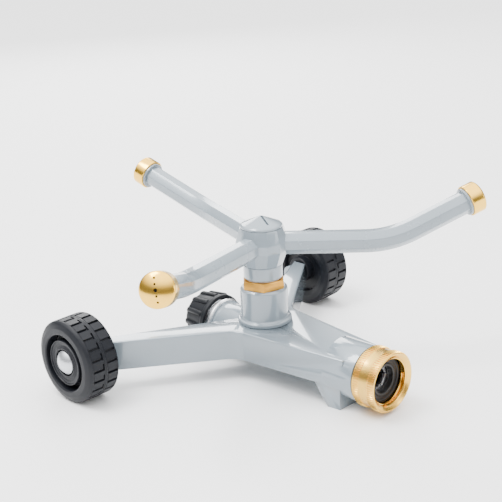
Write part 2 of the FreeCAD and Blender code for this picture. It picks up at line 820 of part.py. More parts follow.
def make_inlet():
    tail = new_body("inlet_tailpiece")
    seat = dim.nut_rear - dim.barrel_end
    revolve(tail, [
        (dim.water_bore - 0.4, -(seat + dim.fitting_depth)),
        (dim.fitting_radius, -(seat + dim.fitting_depth)),
        (dim.fitting_radius, 0),
        (dim.fitting_radius + 1.0, 0),
        (dim.fitting_radius + 1.0, 2.6),
        (dim.nut_thread_radius - 0.4, 2.6),
        (dim.nut_thread_radius - 0.4, 5.0),
        (4.8, 5.0),
        (4.8, 1.0),
        (dim.water_bore - 0.4, 1.0),
    ])
    doc.recompute()
    broach = new_sketch(tail, "XY_Plane", "broach", as_size(1.0))
    add_polygon(broach, regular_corners(6, 11.0))
    pocket_up(tail, broach, as_size(5.0), "broach_cut")

    washer = ring("inlet_washer", as_size(7.4), dim.washer_seat_radius - 0.4,
                  as_size(5.0), dim.washer_seat_end - 0.2)
    nut = turned("coupling_nut", [
        (dim.fitting_radius + 1.3, 0),
        (dim.nut_waist, 0),
        (dim.nut_radius, 0.7),
        (dim.nut_radius, 4.6),
        (dim.nut_waist, 4.9),
        (dim.nut_waist, 10.0),
        (dim.nut_radius, 10.3),
        (dim.nut_radius, dim.nut_length - 0.8),
        (dim.nut_radius - 0.8, dim.nut_length),
        (dim.nut_mouth_radius, dim.nut_length),
        (dim.nut_thread_radius, dim.nut_length - 1.8),
        (dim.nut_thread_radius, dim.washer_seat_end),
        (dim.washer_seat_radius, dim.washer_seat_end),
        (dim.washer_seat_radius, 2.4),
        (dim.fitting_radius + 1.3, 2.4),
    ])
    return [lay_inlet(piece) for piece in (tail, washer, nut)]


def make_outlet():
    nipple = turned("outlet_nipple", [
        (dim.water_bore - 0.4, -dim.fitting_depth),
        (dim.fitting_radius, -dim.fitting_depth),
        (dim.fitting_radius, 0),
        (dim.outlet_ring_radius - 0.6, 0.3),
        (dim.outlet_ring_radius, 0.9),
        (dim.outlet_ring_radius, 2.0),
        (dim.outlet_ring_radius - 0.6, 2.6),
        (dim.outlet_thread_radius - 1.6, 2.6),
        (dim.outlet_thread_radius - 1.6, 4.6),
        (dim.outlet_thread_radius, 5.4),
        (dim.outlet_thread_radius, 14.8),
        (dim.outlet_thread_radius - 0.8, 15.4),
        (dim.water_bore - 0.4, 15.4),
    ])
    lay_outlet(nipple, dim.rear_barrel_end)

    length = dim.outlet_cap_length
    bore = dim.outlet_thread_radius + 0.1
    cap = new_body("outlet_cap")
    revolve(cap, [
        (bore + 0.6, 0),
        (dim.outlet_cap_radius, 0),
        (dim.outlet_cap_radius, 3.0),
        (dim.outlet_cap_radius - 0.6, 3.8),
        (dim.outlet_cap_end_radius, length - 1.6),
        (dim.outlet_cap_end_radius - 1.8, length),
        (dim.outlet_cap_end_radius - 5.0, length),
        (dim.outlet_cap_end_radius - 5.6, length - 0.8),
        (0, length - 0.8),
        (0, 13.4),
        (bore, 13.4),
        (bore, 0.6),
    ])
    doc.recompute()
    rib = new_sketch(cap, "XY_Plane", "rib", as_size(3.8))
    inner, outer = bore + 0.1, dim.outlet_cap_radius + dim.outlet_rib_height
    add_polygon(rib, [(inner, -1.5), (outer - 0.8, -1.5), (outer, -0.9), (outer, 0.9),
                      (outer - 0.8, 1.5), (inner, 1.5)])
    raised = pad_up(cap, rib, length - 6.6, "rib_pad")
    repeat_round(cap, raised, RIB_COUNT, "ribs")
    lay_outlet(cap, dim.outlet_cap_start)

    face = dim.rear_barrel_end + 15.4
    washer = ring("outlet_cap_washer", as_size(7.5), dim.outlet_thread_radius - 0.3,
                  as_size(0.05), as_size(2.45))
    lay_outlet(washer, face)
    return [nipple, cap, washer]


# ------------------------------------------------------------------------------------------
# Wheels, axles and push-on axle caps, the same on both sides
# ------------------------------------------------------------------------------------------

def make_wheel(label, direction):
    """Moulded wheel.  Its own Z runs outwards from the inner face."""
    wheel = new_body(label)
    tread = dim.wheel_radius
    width = dim.wheel_width
    revolve(wheel, [
        (dim.axle_radius + dim.running_gap, -1.9),
        (8.4, -1.9),
        (8.4, 4.0),
        (14.5, 4.0),
        (15.2, 1.0),
        (18.4, 0),
        (21.6, 0, -2.6),
        (tread, 2.4),
        (tread, width - 3.4),
        (tread - 0.7, width - 2.8, -7.0),
        (17.4, width),
        (16.3, width - 0.4),
        (16.3, width - 7.0),
        (13.2, width - 7.0),
        (13.2, width - 0.8),
        (12.4, width - 0.8),
        (12.2, width - 1.6),
        (8.6, width - 1.6),
        (8.4, width - 1.1),
        (7.6, width - 1.1),
        (7.6, width - 3.1),
        (dim.axle_radius + dim.running_gap, width - 3.1),
    ])
    doc.recompute()
    mirror = 1 if direction > 0 else -1
    rows = (("outer", 10.6, 7.4, 0.0), ("inner", 1.4, 7.2, 180.0 / TREAD_COUNT))
    for name, start, length, shift in rows:
        angle = math.radians(shift * mirror)
        along = Vector(math.cos(angle), math.sin(angle), 0)
        across = Vector(-math.sin(angle), math.cos(angle), 0)
        corners = [along * depth + across * side for depth, side in
                   ((DIMENSIONS["wheel_radius"] - 1.0, -0.6), (DIMENSIONS["wheel_radius"] + 1, -0.6),
                    (DIMENSIONS["wheel_radius"] + 1, 0.6), (DIMENSIONS["wheel_radius"] - 1.0, 0.6))]
        groove = new_sketch(wheel, "XY_Plane", f"{label}_{name}_groove", as_size(start))
        add_polygon(groove, [(corner.x, corner.y) for corner in corners])
        sunk = pocket_up(wheel, groove, as_size(length), f"{label}_{name}_cut")
        repeat_round(wheel, sunk, TREAD_COUNT, f"{label}_{name}_grooves")
        doc.recompute()
    place(wheel, x=dim.wheel_inner_face * direction, y=dim.wheel_back, z=dim.wheel_radius,
          rotation=Rotation(Z_AXIS, Vector(direction, 0, 0)))
    return wheel


def make_axle(side, direction):
    outwards = Vector(direction, 0, 0)
    axle = turned(f"{side}_axle", [
        (0, dim.axle_boss_start),
        (dim.axle_radius, dim.axle_boss_start),
        (dim.axle_radius, dim.dome_apex - 2.0),
        (0, dim.dome_apex - 2.0),
    ])
    cap_start = dim.wheel_inner_face + dim.wheel_width - 2.9
    rise = dim.dome_apex - cap_start - 1.7
    cap = turned(f"{side}_axle_cap", [
        (dim.axle_radius, cap_start),
        (4.4, cap_start),
        (4.4, cap_start + 1.2),
        (dim.dome_radius, cap_start + 1.2),
        (dim.dome_radius, cap_start + 1.7, -dome_radius_of(dim.dome_radius, rise)),
        (0, dim.dome_apex),
        (0, dim.dome_apex - 2.0),
        (dim.axle_radius, dim.dome_apex - 2.0),
    ])
    for piece in (axle, cap):
        place(piece, y=dim.wheel_back, z=dim.wheel_radius, rotation=Rotation(Z_AXIS, outwards))
    return [axle, cap]


# ------------------------------------------------------------------------------------------
# Build, check and export
# ------------------------------------------------------------------------------------------

nodes = [make_base_casting(), make_riser_post(), make_spindle()]
nodes += make_bearing_parts()
nodes += [make_hub_collar(), make_rotor_hub(), make_hub_cap()]
for arm_index in range(ARM_COUNT):
    nodes += [make_arm(arm_index), make_nozzle_cap(arm_index), make_nozzle_seal(arm_index)]
nodes += make_inlet()
nodes += make_outlet()
for side, direction in (("left", -1), ("right", 1)):
    nodes.append(make_wheel(f"{side}_wheel", direction))
    nodes += make_axle(side, direction)

doc.recompute()
for item in doc.Objects:
    if "Invalid" in item.State or "Error" in item.State:
        raise RuntimeError(f"{item.Label} failed: {item.State}")
for node in nodes:
    if node.Shape.isNull() or not node.Shape.isValid():
        raise RuntimeError(f"{node.Label} has no valid shape")

os.makedirs("parts", exist_ok=True)
for node in nodes:
    node.Shape.exportStep(f"parts/{node.Label}.step")
    box = node.Shape.BoundBox
    print(f"{node.Label:20s} solids {len(node.Shape.Solids)}  volume {node.Shape.Volume:9.1f}"
          f"  x {box.XMin:7.2f} {box.XMax:7.2f}  y {box.YMin:7.2f} {box.YMax:7.2f}"
          f"  z {box.ZMin:7.2f} {box.ZMax:7.2f}")
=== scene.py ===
# %% [markdown]
# # A three-arm lawn sprinkler
# The object is a cast base on two wheels and a foot, with a riser post, a spinning hub,
# three bent arms and brass spray caps.  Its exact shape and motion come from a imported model,
# the frame.  This lesson dresses that frame: it keeps every size and gives each part finer
# edges, threads, knurls and a proper finish.

# %% Load the frame
import json
import math

import bmesh
import bpy
from mathutils import Matrix, Vector


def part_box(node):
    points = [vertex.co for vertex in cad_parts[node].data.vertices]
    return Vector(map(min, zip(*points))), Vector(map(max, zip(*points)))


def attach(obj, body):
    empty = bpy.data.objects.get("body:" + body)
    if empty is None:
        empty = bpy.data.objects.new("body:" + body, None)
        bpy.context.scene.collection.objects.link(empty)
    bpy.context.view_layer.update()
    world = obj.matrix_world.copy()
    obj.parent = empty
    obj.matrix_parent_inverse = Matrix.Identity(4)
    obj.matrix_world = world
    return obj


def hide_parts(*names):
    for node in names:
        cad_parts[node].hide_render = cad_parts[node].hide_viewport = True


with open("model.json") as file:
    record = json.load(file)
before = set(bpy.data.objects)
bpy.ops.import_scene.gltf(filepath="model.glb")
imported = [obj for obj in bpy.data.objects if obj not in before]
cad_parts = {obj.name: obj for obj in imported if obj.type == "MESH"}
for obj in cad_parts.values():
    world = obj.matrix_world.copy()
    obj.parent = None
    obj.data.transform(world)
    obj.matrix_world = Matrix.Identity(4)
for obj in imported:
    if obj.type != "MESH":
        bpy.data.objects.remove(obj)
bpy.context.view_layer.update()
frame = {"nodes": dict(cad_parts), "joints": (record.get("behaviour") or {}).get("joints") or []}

print("nodes in the frame:", len(frame["nodes"]))

# %% [markdown]
# ## Sizes and places
# Everything below is drawn in millimetres about a simple axis, then laid in its place.
# A joint of the frame says where an axis is, and a node's box says how far a part reaches,
# so no place has to be typed in twice.

# %% Places taken from the frame
MM = 0.001
joints = {joint["name"]: joint for joint in frame["joints"]}


def axis_place(origin, direction, spin=0.0):
    """Matrix that lays a part drawn about +Z, in millimetres, on an axis of the frame."""
    turn = Vector((0, 0, 1)).rotation_difference(Vector(direction)).to_matrix().to_4x4()
    twist = Matrix.Rotation(math.radians(spin), 4, "Z")
    return Matrix.Translation(Vector(origin)) @ turn @ twist @ Matrix.Scale(MM, 4)


PIPE_HEIGHT = joints["hose_nut_spin"]["pos_m"][2]
NUT_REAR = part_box("coupling_nut")[1].y
BARREL_BACK = 0.033
UPRIGHT = Matrix.Scale(MM, 4)
INLET = axis_place((0, NUT_REAR, PIPE_HEIGHT), (0, -1, 0))
OUTLET = axis_place((0, BARREL_BACK, PIPE_HEIGHT), (0, 1, 0))
print("nut starts at y =", round(NUT_REAR, 4), " pipe height =", round(PIPE_HEIGHT, 4))

# %% [markdown]
# ## Helpers for finished pieces
# Each finished piece is one mesh at the origin.  It rides on a body of the frame, takes the finish it is
# given, and stands in for the plainer CAD node it covers.

# %% A finished piece


def finish_piece(name, mesh, body, material, replaces=(), crease=32.0):
    """Make one mesh a piece of the object and print what it weighs in faces."""
    piece = bpy.data.objects.new(name, mesh)
    bpy.context.scene.collection.objects.link(piece)
    mesh.materials.clear()
    mesh.materials.append(material)
    mesh.shade_smooth()
    mesh.set_sharp_from_angle(angle=math.radians(crease))
    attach(piece, body)
    if replaces:
        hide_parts(*replaces)
    print(f"{name}: {len(mesh.polygons)} faces on {body}")
    return piece


def mesh_from(shape, name, place):
    """Turn a bmesh drawn in millimetres into a mesh that lies in its place."""
    bmesh.ops.remove_doubles(shape, verts=shape.verts, dist=0.0005)
    bmesh.ops.recalc_face_normals(shape, faces=shape.faces)
    mesh = bpy.data.meshes.new(name)
    shape.to_mesh(mesh)
    shape.free()
    mesh.transform(place)
    return mesh


# %% [markdown]
# ### Turned parts
# Post, caps, washers, wheels and nuts are all turned about an axis.  A profile is a list of
# (radius, height, corner radius), and every corner is rounded before the profile is spun, so
# that edges catch the light as real machined or moulded edges do.

# %% Rounded profiles and lathe


def rounded(profile, closed=True, steps=4):
    """Round the corners of a profile.  A corner with no third number stays sharp."""
    points = [Vector(corner[:2]) for corner in profile]
    sizes = [corner[2] if len(corner) > 2 else 0.0 for corner in profile]
    result = []
    for index, point in enumerate(points):
        size = sizes[index]
        last = index == len(points) - 1
        if size == 0 or (not closed and (index == 0 or last)):
            result.append(point)
            continue
        before = points[index - 1] - point
        after = points[(index + 1) % len(points)] - point
        half_angle = before.angle(after) / 2
        reach = min(size / math.tan(half_angle), before.length * 0.48, after.length * 0.48)
        start, end = point + before.normalized() * reach, point + after.normalized() * reach
        for step in range(steps + 1):
            t = step / steps
            result.append(start * (1 - t) ** 2 + point * 2 * t * (1 - t) + end * t * t)
    return result


def lathe(profile, closed=True, segments=96, steps=4):
    """Spin a rounded profile about Z and return the bmesh."""
    points = rounded(profile, closed, steps)
    shape = bmesh.new()
    rings = []
    for radius, height in points:
        count = 1 if radius < 1e-6 else segments
        ring = []
        for step in range(count):
            angle = 2 * math.pi * step / segments
            spot = (radius * math.cos(angle), radius * math.sin(angle), height)
            ring.append(shape.verts.new(spot))
        rings.append(ring)
    pairs = list(zip(rings, rings[1:]))
    if closed:
        pairs.append((rings[-1], rings[0]))
    for low, high in pairs:
        for step in range(segments):
            after = (step + 1) % segments
            if len(low) == 1 and len(high) == 1:
                break
            if len(low) == 1:
                shape.faces.new((low[0], high[step], high[after]))
            elif len(high) == 1:
                shape.faces.new((low[step], low[after], high[0]))
            else:
                shape.faces.new((low[step], low[after], high[after], high[step]))
    return shape


def box_shape(low, high):
    """A plain block between two corners, used as a cutter."""
    shape = bmesh.new()
    for vert in bmesh.ops.create_cube(shape, size=1.0)["verts"]:
        for axis in range(3):
            vert.co[axis] = low[axis] if vert.co[axis] < 0 else high[axis]
    return shape


def skin(shape, rings):
    """Join a stack of equal rings with faces and close both ends."""
    size = len(rings[0])
    for below, above in zip(rings, rings[1:]):
        for step in range(size):
            after = (step + 1) % size
            shape.faces.new((below[step], below[after], above[after], above[step]))
    shape.faces.new(rings[0])
    shape.faces.new(rings[-1])
    return shape


# %% [markdown]
# ### Cast and cut parts
# The base casting and the faceted hub already have the right shape in the frame.  A copy is
# merged into clean flat faces, and a narrow bevel with matching normals softens each edge.

# %% Softened copy of a CAD node
CAD_WELD = 2e-6
FLAT_ANGLE = 0.6


def softened(node, width, segments=3, sharp=28.0):
    """Copy a CAD node, merge it to clean faces and bevel its sharp edges."""
    mesh = frame["nodes"][node].data.copy()
    shape = bmesh.new()
    shape.from_mesh(mesh)
    bmesh.ops.remove_doubles(shape, verts=shape.verts, dist=CAD_WELD)
    bmesh.ops.dissolve_limit(shape, angle_limit=math.radians(FLAT_ANGLE), verts=shape.verts,
                             edges=shape.edges)
    shape.to_mesh(mesh)
    shape.free()
    holder = bpy.data.objects.new(node + "_holder", mesh)
    bpy.context.scene.collection.objects.link(holder)
    bevel = holder.modifiers.new("soft edges", "BEVEL")
    bevel.limit_method = "ANGLE"
    bevel.angle_limit = math.radians(sharp)
    bevel.width = width * MM
    bevel.segments = segments
    bevel.use_clamp_overlap = True
    bevel.harden_normals = True
    return bake_holder(holder)


def bake_holder(holder):
    """Evaluate an object's modifiers into a plain mesh and remove the object."""
    bpy.context.view_layer.update()
    graph = bpy.context.evaluated_depsgraph_get()
    mesh = bpy.data.meshes.new_from_object(holder.evaluated_get(graph), depsgraph=graph)
    for modifier in list(holder.modifiers):
        holder.modifiers.remove(modifier)
    bpy.data.objects.remove(holder)
    return mesh


def joined(*meshes):
    """One mesh from several."""
    shape = bmesh.new()
    for mesh in meshes:
        shape.from_mesh(mesh)
    result = bpy.data.meshes.new("joined")
    shape.to_mesh(result)
    shape.free()
    return result


# %% [markdown]
# ## Node trees for geometry
# Ribs, knurls and tread blocks are one small shape repeated around an axis, so a Geometry
# Nodes tree makes the ring from its seed.  Threads are a spiral with a rounded bar swept
# along it, and the arms are an eight-sided tube swept along a bent line.

# %% Helpers to build trees


def new_tree(name, sockets):
    """A geometry tree with named inputs and one geometry output."""
    tree = bpy.data.node_groups.new(name, "GeometryNodeTree")
    for label, kind, default in sockets:
        socket = tree.interface.new_socket(label, in_out="INPUT", socket_type=kind)
        if default is not None:
            socket.default_value = default
    tree.interface.new_socket("Geometry", in_out="OUTPUT", socket_type="NodeSocketGeometry")
    entry = tree.nodes.new("NodeGroupInput")
    exit_node = tree.nodes.new("NodeGroupOutput")
    return tree, entry, exit_node


def wire(tree, source, target):
    """Link two sockets."""
    tree.links.new(source, target)


def maths(tree, operation, first, second=None):
    """A Math node.  Each value is a number or a socket."""
    node = tree.nodes.new("ShaderNodeMath")
    node.operation = operation
    for slot, value in zip(node.inputs, (first, second)):
        if value is None:
            continue
        if isinstance(value, (int, float)):
            slot.default_value = value
        else:
            wire(tree, value, slot)
    return node.outputs[0]


def end_tree(tree, entry, exit_node, geometry):
    """Realize the instances, set the material, and end the tree."""
    real = tree.nodes.new("GeometryNodeRealizeInstances")
    paint = tree.nodes.new("GeometryNodeSetMaterial")
    wire(tree, geometry, real.inputs["Geometry"])
    wire(tree, real.outputs["Geometry"], paint.inputs["Geometry"])
    wire(tree, entry.outputs["Material"], paint.inputs["Material"])
    wire(tree, paint.outputs["Geometry"], exit_node.inputs["Geometry"])


def grow(tree, mesh, **values):
    """Run a tree on a mesh with the given inputs and return a plain mesh."""
    holder = bpy.data.objects.new("holder", mesh)
    bpy.context.scene.collection.objects.link(holder)
    modifier = holder.modifiers.new("grow", "NODES")
    modifier.node_group = tree
    names = {item.name.replace(" ", "_").lower(): item.identifier
             for item in tree.interface.items_tree if item.in_out == "INPUT"}
    for name, value in values.items():
        modifier[names[name]] = value
    return bake_holder(holder)


# %% The ring tree
ring_tree, ring_in, ring_out = new_tree("ring of copies", [
    ("Geometry", "NodeSocketGeometry", None),
    ("Count", "NodeSocketInt", 12),
    ("Shift", "NodeSocketFloat", 0.0),
    ("Material", "NodeSocketMaterial", None),
])
points = ring_tree.nodes.new("GeometryNodePoints")
order = ring_tree.nodes.new("GeometryNodeInputIndex")
pitch = maths(ring_tree, "DIVIDE", math.tau, ring_in.outputs["Count"])
angle = maths(ring_tree, "MULTIPLY", order.outputs[0], pitch)
turned = maths(ring_tree, "ADD", angle, ring_in.outputs["Shift"])
as_turn = ring_tree.nodes.new("ShaderNodeCombineXYZ")
copies = ring_tree.nodes.new("GeometryNodeInstanceOnPoints")
wire(ring_tree, ring_in.outputs["Count"], points.inputs["Count"])
wire(ring_tree, turned, as_turn.inputs["Z"])
wire(ring_tree, points.outputs[0], copies.inputs["Points"])
wire(ring_tree, ring_in.outputs["Geometry"], copies.inputs["Instance"])
wire(ring_tree, as_turn.outputs[0], copies.inputs["Rotation"])
end_tree(ring_tree, ring_in, ring_out, copies.outputs[0])
print("ring tree has", len(ring_tree.nodes), "nodes")

# %% The thread tree
thread_tree, thread_in, thread_out = new_tree("screw thread", [
    ("Geometry", "NodeSocketGeometry", None),
    ("Radius", "NodeSocketFloat", 0.0132),
    ("Bar", "NodeSocketFloat", 0.0008),
    ("Pitch", "NodeSocketFloat", 0.0022),
    ("Turns", "NodeSocketFloat", 3.0),
    ("Start", "NodeSocketFloat", 0.0),
    ("Material", "NodeSocketMaterial", None),
])
spiral = thread_tree.nodes.new("GeometryNodeCurveSpiral")
spiral.inputs["Resolution"].default_value = 72
bar = thread_tree.nodes.new("GeometryNodeCurvePrimitiveCircle")
bar.inputs["Resolution"].default_value = 8
sweep = thread_tree.nodes.new("GeometryNodeCurveToMesh")
sweep.inputs["Fill Caps"].default_value = True
lift = thread_tree.nodes.new("GeometryNodeTransform")
lift_by = thread_tree.nodes.new("ShaderNodeCombineXYZ")
wire(thread_tree, thread_in.outputs["Radius"], spiral.inputs["Start Radius"])
wire(thread_tree, thread_in.outputs["Radius"], spiral.inputs["End Radius"])
wire(thread_tree, thread_in.outputs["Turns"], spiral.inputs["Rotations"])
height = maths(thread_tree, "MULTIPLY", thread_in.outputs["Turns"], thread_in.outputs["Pitch"])
wire(thread_tree, height, spiral.inputs["Height"])
wire(thread_tree, thread_in.outputs["Bar"], bar.inputs["Radius"])
wire(thread_tree, spiral.outputs["Curve"], sweep.inputs["Curve"])
wire(thread_tree, bar.outputs["Curve"], sweep.inputs["Profile Curve"])
wire(thread_tree, thread_in.outputs["Start"], lift_by.inputs["Z"])
wire(thread_tree, sweep.outputs[0], lift.inputs["Geometry"])
wire(thread_tree, lift_by.outputs[0], lift.inputs["Translation"])
end_tree(thread_tree, thread_in, thread_out, lift.outputs[0])
print("thread tree has", len(thread_tree.nodes), "nodes")

# %% The bent tube tree
tube_tree, tube_in, tube_out = new_tree("bent eight-sided tube", [
    ("Geometry", "NodeSocketGeometry", None),
    ("Bend Radius", "NodeSocketFloat", 0.055),
    ("Across Corners", "NodeSocketFloat", 0.0134),
    ("Edge Round", "NodeSocketFloat", 0.0006),
    ("Material", "NodeSocketMaterial", None),
])
line = tube_tree.nodes.new("GeometryNodeMeshToCurve")
bend = tube_tree.nodes.new("GeometryNodeFilletCurve")
eight = tube_tree.nodes.new("GeometryNodeCurvePrimitiveCircle")
eight.inputs["Resolution"].default_value = 8
turn_flat = tube_tree.nodes.new("GeometryNodeTransform")
turn_flat.inputs["Rotation"].default_value = (0, 0, math.pi / 8)
soften = tube_tree.nodes.new("GeometryNodeFilletCurve")
tube = tube_tree.nodes.new("GeometryNodeCurveToMesh")
tube.inputs["Fill Caps"].default_value = True
for fillet, count in ((bend, 28), (soften, 3)):
    fillet.mode = "POLY"
    fillet.inputs["Count"].default_value = count
half_width = maths(tube_tree, "DIVIDE", tube_in.outputs["Across Corners"], 2.0)
wire(tube_tree, tube_in.outputs["Geometry"], line.inputs[0])
wire(tube_tree, line.outputs[0], bend.inputs["Curve"])
wire(tube_tree, tube_in.outputs["Bend Radius"], bend.inputs["Radius"])
wire(tube_tree, half_width, eight.inputs["Radius"])
wire(tube_tree, eight.outputs[0], turn_flat.inputs["Geometry"])
wire(tube_tree, turn_flat.outputs[0], soften.inputs["Curve"])
wire(tube_tree, tube_in.outputs["Edge Round"], soften.inputs["Radius"])
wire(tube_tree, bend.outputs[0], tube.inputs["Curve"])
wire(tube_tree, soften.outputs[0], tube.inputs["Profile Curve"])
end_tree(tube_tree, tube_in, tube_out, tube.outputs[0])
print("tube tree has", len(tube_tree.nodes), "nodes")

# %% [markdown]
# ## Effects shared by several finishes
# Some effects return on many parts, so each is built once as a node group with named inputs.
# Fine grain is the slight unevenness of paint, plastic and rubber.  Turning marks are the
# faint rings a lathe leaves.  Soiling darkens and dulls a surface a little in soft patches.

# %% Group builder


def new_group(name, inputs, outputs):
    """A shader node group with float or colour sockets."""
    group = bpy.data.node_groups.new(name, "ShaderNodeTree")
    for label, kind, default in inputs:
        socket = group.interface.new_socket(label, in_out="INPUT", socket_type="NodeSocket" + kind)
        if default is not None:
            socket.default_value = default
    for label, kind in outputs:
        group.interface.new_socket(label, in_out="OUTPUT", socket_type="NodeSocket" + kind)
    return group, group.nodes.new("NodeGroupInput"), group.nodes.new("NodeGroupOutput")


# %% Fine grain group
grain_group, grain_in, grain_out = new_group("fine grain", [
    ("Scale", "Float", 900.0),
    ("Strength", "Float", 0.1),
    ("Depth", "Float", 0.00005),
], [("Normal", "Vector"), ("Mask", "Float")])
grain_where = grain_group.nodes.new("ShaderNodeTexCoord")
grain_noise = grain_group.nodes.new("ShaderNodeTexNoise")
grain_noise.inputs["Detail"].default_value = 3.0
grain_bump = grain_group.nodes.new("ShaderNodeBump")
wire(grain_group, grain_where.outputs["Object"], grain_noise.inputs["Vector"])
wire(grain_group, grain_in.outputs["Scale"], grain_noise.inputs["Scale"])
wire(grain_group, grain_in.outputs["Strength"], grain_bump.inputs["Strength"])
wire(grain_group, grain_in.outputs["Depth"], grain_bump.inputs["Distance"])
wire(grain_group, grain_noise.outputs["Fac"], grain_bump.inputs["Height"])
wire(grain_group, grain_bump.outputs["Normal"], grain_out.inputs["Normal"])
wire(grain_group, grain_noise.outputs["Fac"], grain_out.inputs["Mask"])
print("group:", grain_group.name)

# %% Soft patches group
patch_group, patch_in, patch_out = new_group("soft patches", [
    ("Scale", "Float", 30.0),
    ("Clean", "Color", (0.5, 0.5, 0.5, 1)),
    ("Dull", "Color", (0.45, 0.45, 0.45, 1)),
    ("Smooth", "Float", 0.2),
    ("Rough", "Float", 0.3),
], [("Color", "Color"), ("Roughness", "Float")])
patch_where = patch_group.nodes.new("ShaderNodeTexCoord")
patch_noise = patch_group.nodes.new("ShaderNodeTexNoise")
patch_noise.inputs["Detail"].default_value = 5.0
patch_noise.inputs["Roughness"].default_value = 0.6
patch_range = patch_group.nodes.new("ShaderNodeMapRange")
patch_range.inputs["From Min"].default_value = 0.35
patch_range.inputs["From Max"].default_value = 0.7
patch_mix = patch_group.nodes.new("ShaderNodeMix")
patch_mix.data_type = "RGBA"
patch_rough = patch_group.nodes.new("ShaderNodeMix")
wire(patch_group, patch_where.outputs["Object"], patch_noise.inputs["Vector"])
wire(patch_group, patch_in.outputs["Scale"], patch_noise.inputs["Scale"])
wire(patch_group, patch_noise.outputs["Fac"], patch_range.inputs["Value"])
wire(patch_group, patch_range.outputs[0], patch_mix.inputs["Factor"])
wire(patch_group, patch_in.outputs["Clean"], patch_mix.inputs[6])
wire(patch_group, patch_in.outputs["Dull"], patch_mix.inputs[7])
wire(patch_group, patch_range.outputs[0], patch_rough.inputs["Factor"])
wire(patch_group, patch_in.outputs["Smooth"], patch_rough.inputs[2])
wire(patch_group, patch_in.outputs["Rough"], patch_rough.inputs[3])
wire(patch_group, patch_mix.outputs[2], patch_out.inputs["Color"])
wire(patch_group, patch_rough.outputs[0], patch_out.inputs["Roughness"])
print("group:", patch_group.name)

# %% Turning marks group
# Rings about an axis through a given point: the distance from the axis and along it drives a
# fine wave, as a cutting tool would leave.
lathe_group, lathe_in, lathe_out = new_group("turning marks", [
    ("Centre", "Vector", (0, 0, 0)),
    ("Axis", "Vector", (0, 0, 1)),
    ("Rings per metre", "Float", 3000.0),
    ("Strength", "Float", 0.1),
], [("Normal", "Vector"), ("Mask", "Float")])
lathe_where = lathe_group.nodes.new("ShaderNodeTexCoord")


def vector_math(group, operation, first, second):
    """A Vector Math node fed by two sockets."""
    node = group.nodes.new("ShaderNodeVectorMath")
    node.operation = operation
    wire(group, first, node.inputs[0])
    wire(group, second, node.inputs[1])
    return node


from_centre = vector_math(lathe_group, "SUBTRACT", lathe_where.outputs["Object"],
                          lathe_in.outputs["Centre"])
along = vector_math(lathe_group, "DOT_PRODUCT", from_centre.outputs[0], lathe_in.outputs["Axis"])
across = vector_math(lathe_group, "CROSS_PRODUCT", from_centre.outputs[0], lathe_in.outputs["Axis"])
distance = lathe_group.nodes.new("ShaderNodeVectorMath")
distance.operation = "LENGTH"
wire(lathe_group, across.outputs[0], distance.inputs[0])
reach = maths(lathe_group, "ADD", along.outputs["Value"], distance.outputs["Value"])
rings = maths(lathe_group, "MULTIPLY", reach, lathe_in.outputs["Rings per metre"])
ring_noise = lathe_group.nodes.new("ShaderNodeTexNoise")
ring_noise.noise_dimensions = "1D"
ring_noise.inputs["Scale"].default_value = 1.0
ring_noise.inputs["Detail"].default_value = 2.0
ring_bump = lathe_group.nodes.new("ShaderNodeBump")
ring_bump.inputs["Distance"].default_value = 0.00004
wire(lathe_group, rings, ring_noise.inputs["W"])
wire(lathe_group, lathe_in.outputs["Strength"], ring_bump.inputs["Strength"])
wire(lathe_group, ring_noise.outputs["Fac"], ring_bump.inputs["Height"])
wire(lathe_group, ring_bump.outputs["Normal"], lathe_out.inputs["Normal"])
wire(lathe_group, ring_noise.outputs["Fac"], lathe_out.inputs["Mask"])
print("group:", lathe_group.name)

# %% [markdown]
# ## Finishes
# Each finish is one material.  Uniform values sit on the shader itself, and the groups above
# bring only what changes over the surface.

# %% Material builder


def place_group(material, group, **values):
    """Put a group in a material with its own values."""
    node = material.node_tree.nodes.new("ShaderNodeGroup")
    node.node_tree = group
    for name, value in values.items():
        node.inputs[name.replace("_", " ")].default_value = value
    return node


def make_finish(name, clean, dull, smooth, rough, patch=40.0, grain=None, marks=None, **shader):
    """A finish with soft patches, and either fine grain or turning marks in its surface."""
    material = bpy.data.materials.new(name)
    material.use_nodes = True
    nodes, links = material.node_tree.nodes, material.node_tree.links
    principled = nodes["Principled BSDF"]
    patches = place_group(material, patch_group, Scale=patch, Clean=(*clean, 1), Dull=(*dull, 1),
                          Smooth=smooth, Rough=rough)
    links.new(patches.outputs["Color"], principled.inputs["Base Color"])
    links.new(patches.outputs["Roughness"], principled.inputs["Roughness"])
    if grain:
        texture = place_group(material, grain_group, **grain)
        links.new(texture.outputs["Normal"], principled.inputs["Normal"])
    if marks:
        texture = place_group(material, lathe_group, **marks)
        links.new(texture.outputs["Normal"], principled.inputs["Normal"])
    for label, value in shader.items():
        principled.inputs[label.replace("_", " ")].default_value = value
    print("finish:", name)
    return material


# %% Paints
GREY_CLEAN = (0.222, 0.266, 0.300)
GREY_DULL = (0.206, 0.250, 0.284)
cast_enamel = make_finish("silver_grey_enamel_on_casting", GREY_CLEAN, GREY_DULL, 0.20, 0.27, patch=25.0,
                          grain={"Scale": 420.0, "Strength": 0.12, "Depth": 0.00008},
                          Metallic=0.12, Coat_Weight=1.0, Coat_Roughness=0.03)
arm_enamel = make_finish("silver_grey_enamel_on_tube", GREY_CLEAN, GREY_DULL, 0.24, 0.30, patch=35.0,
                         grain={"Scale": 800.0, "Strength": 0.08, "Depth": 0.00005},
                         Metallic=0.12, Coat_Weight=0.8, Coat_Roughness=0.05)
post_enamel = make_finish("silver_grey_enamel_on_turned_parts", GREY_CLEAN, GREY_DULL, 0.22, 0.28,
                          patch=50.0, grain={"Scale": 700.0, "Strength": 0.08, "Depth": 0.00005},
                          Metallic=0.12, Coat_Weight=1.0, Coat_Roughness=0.04)

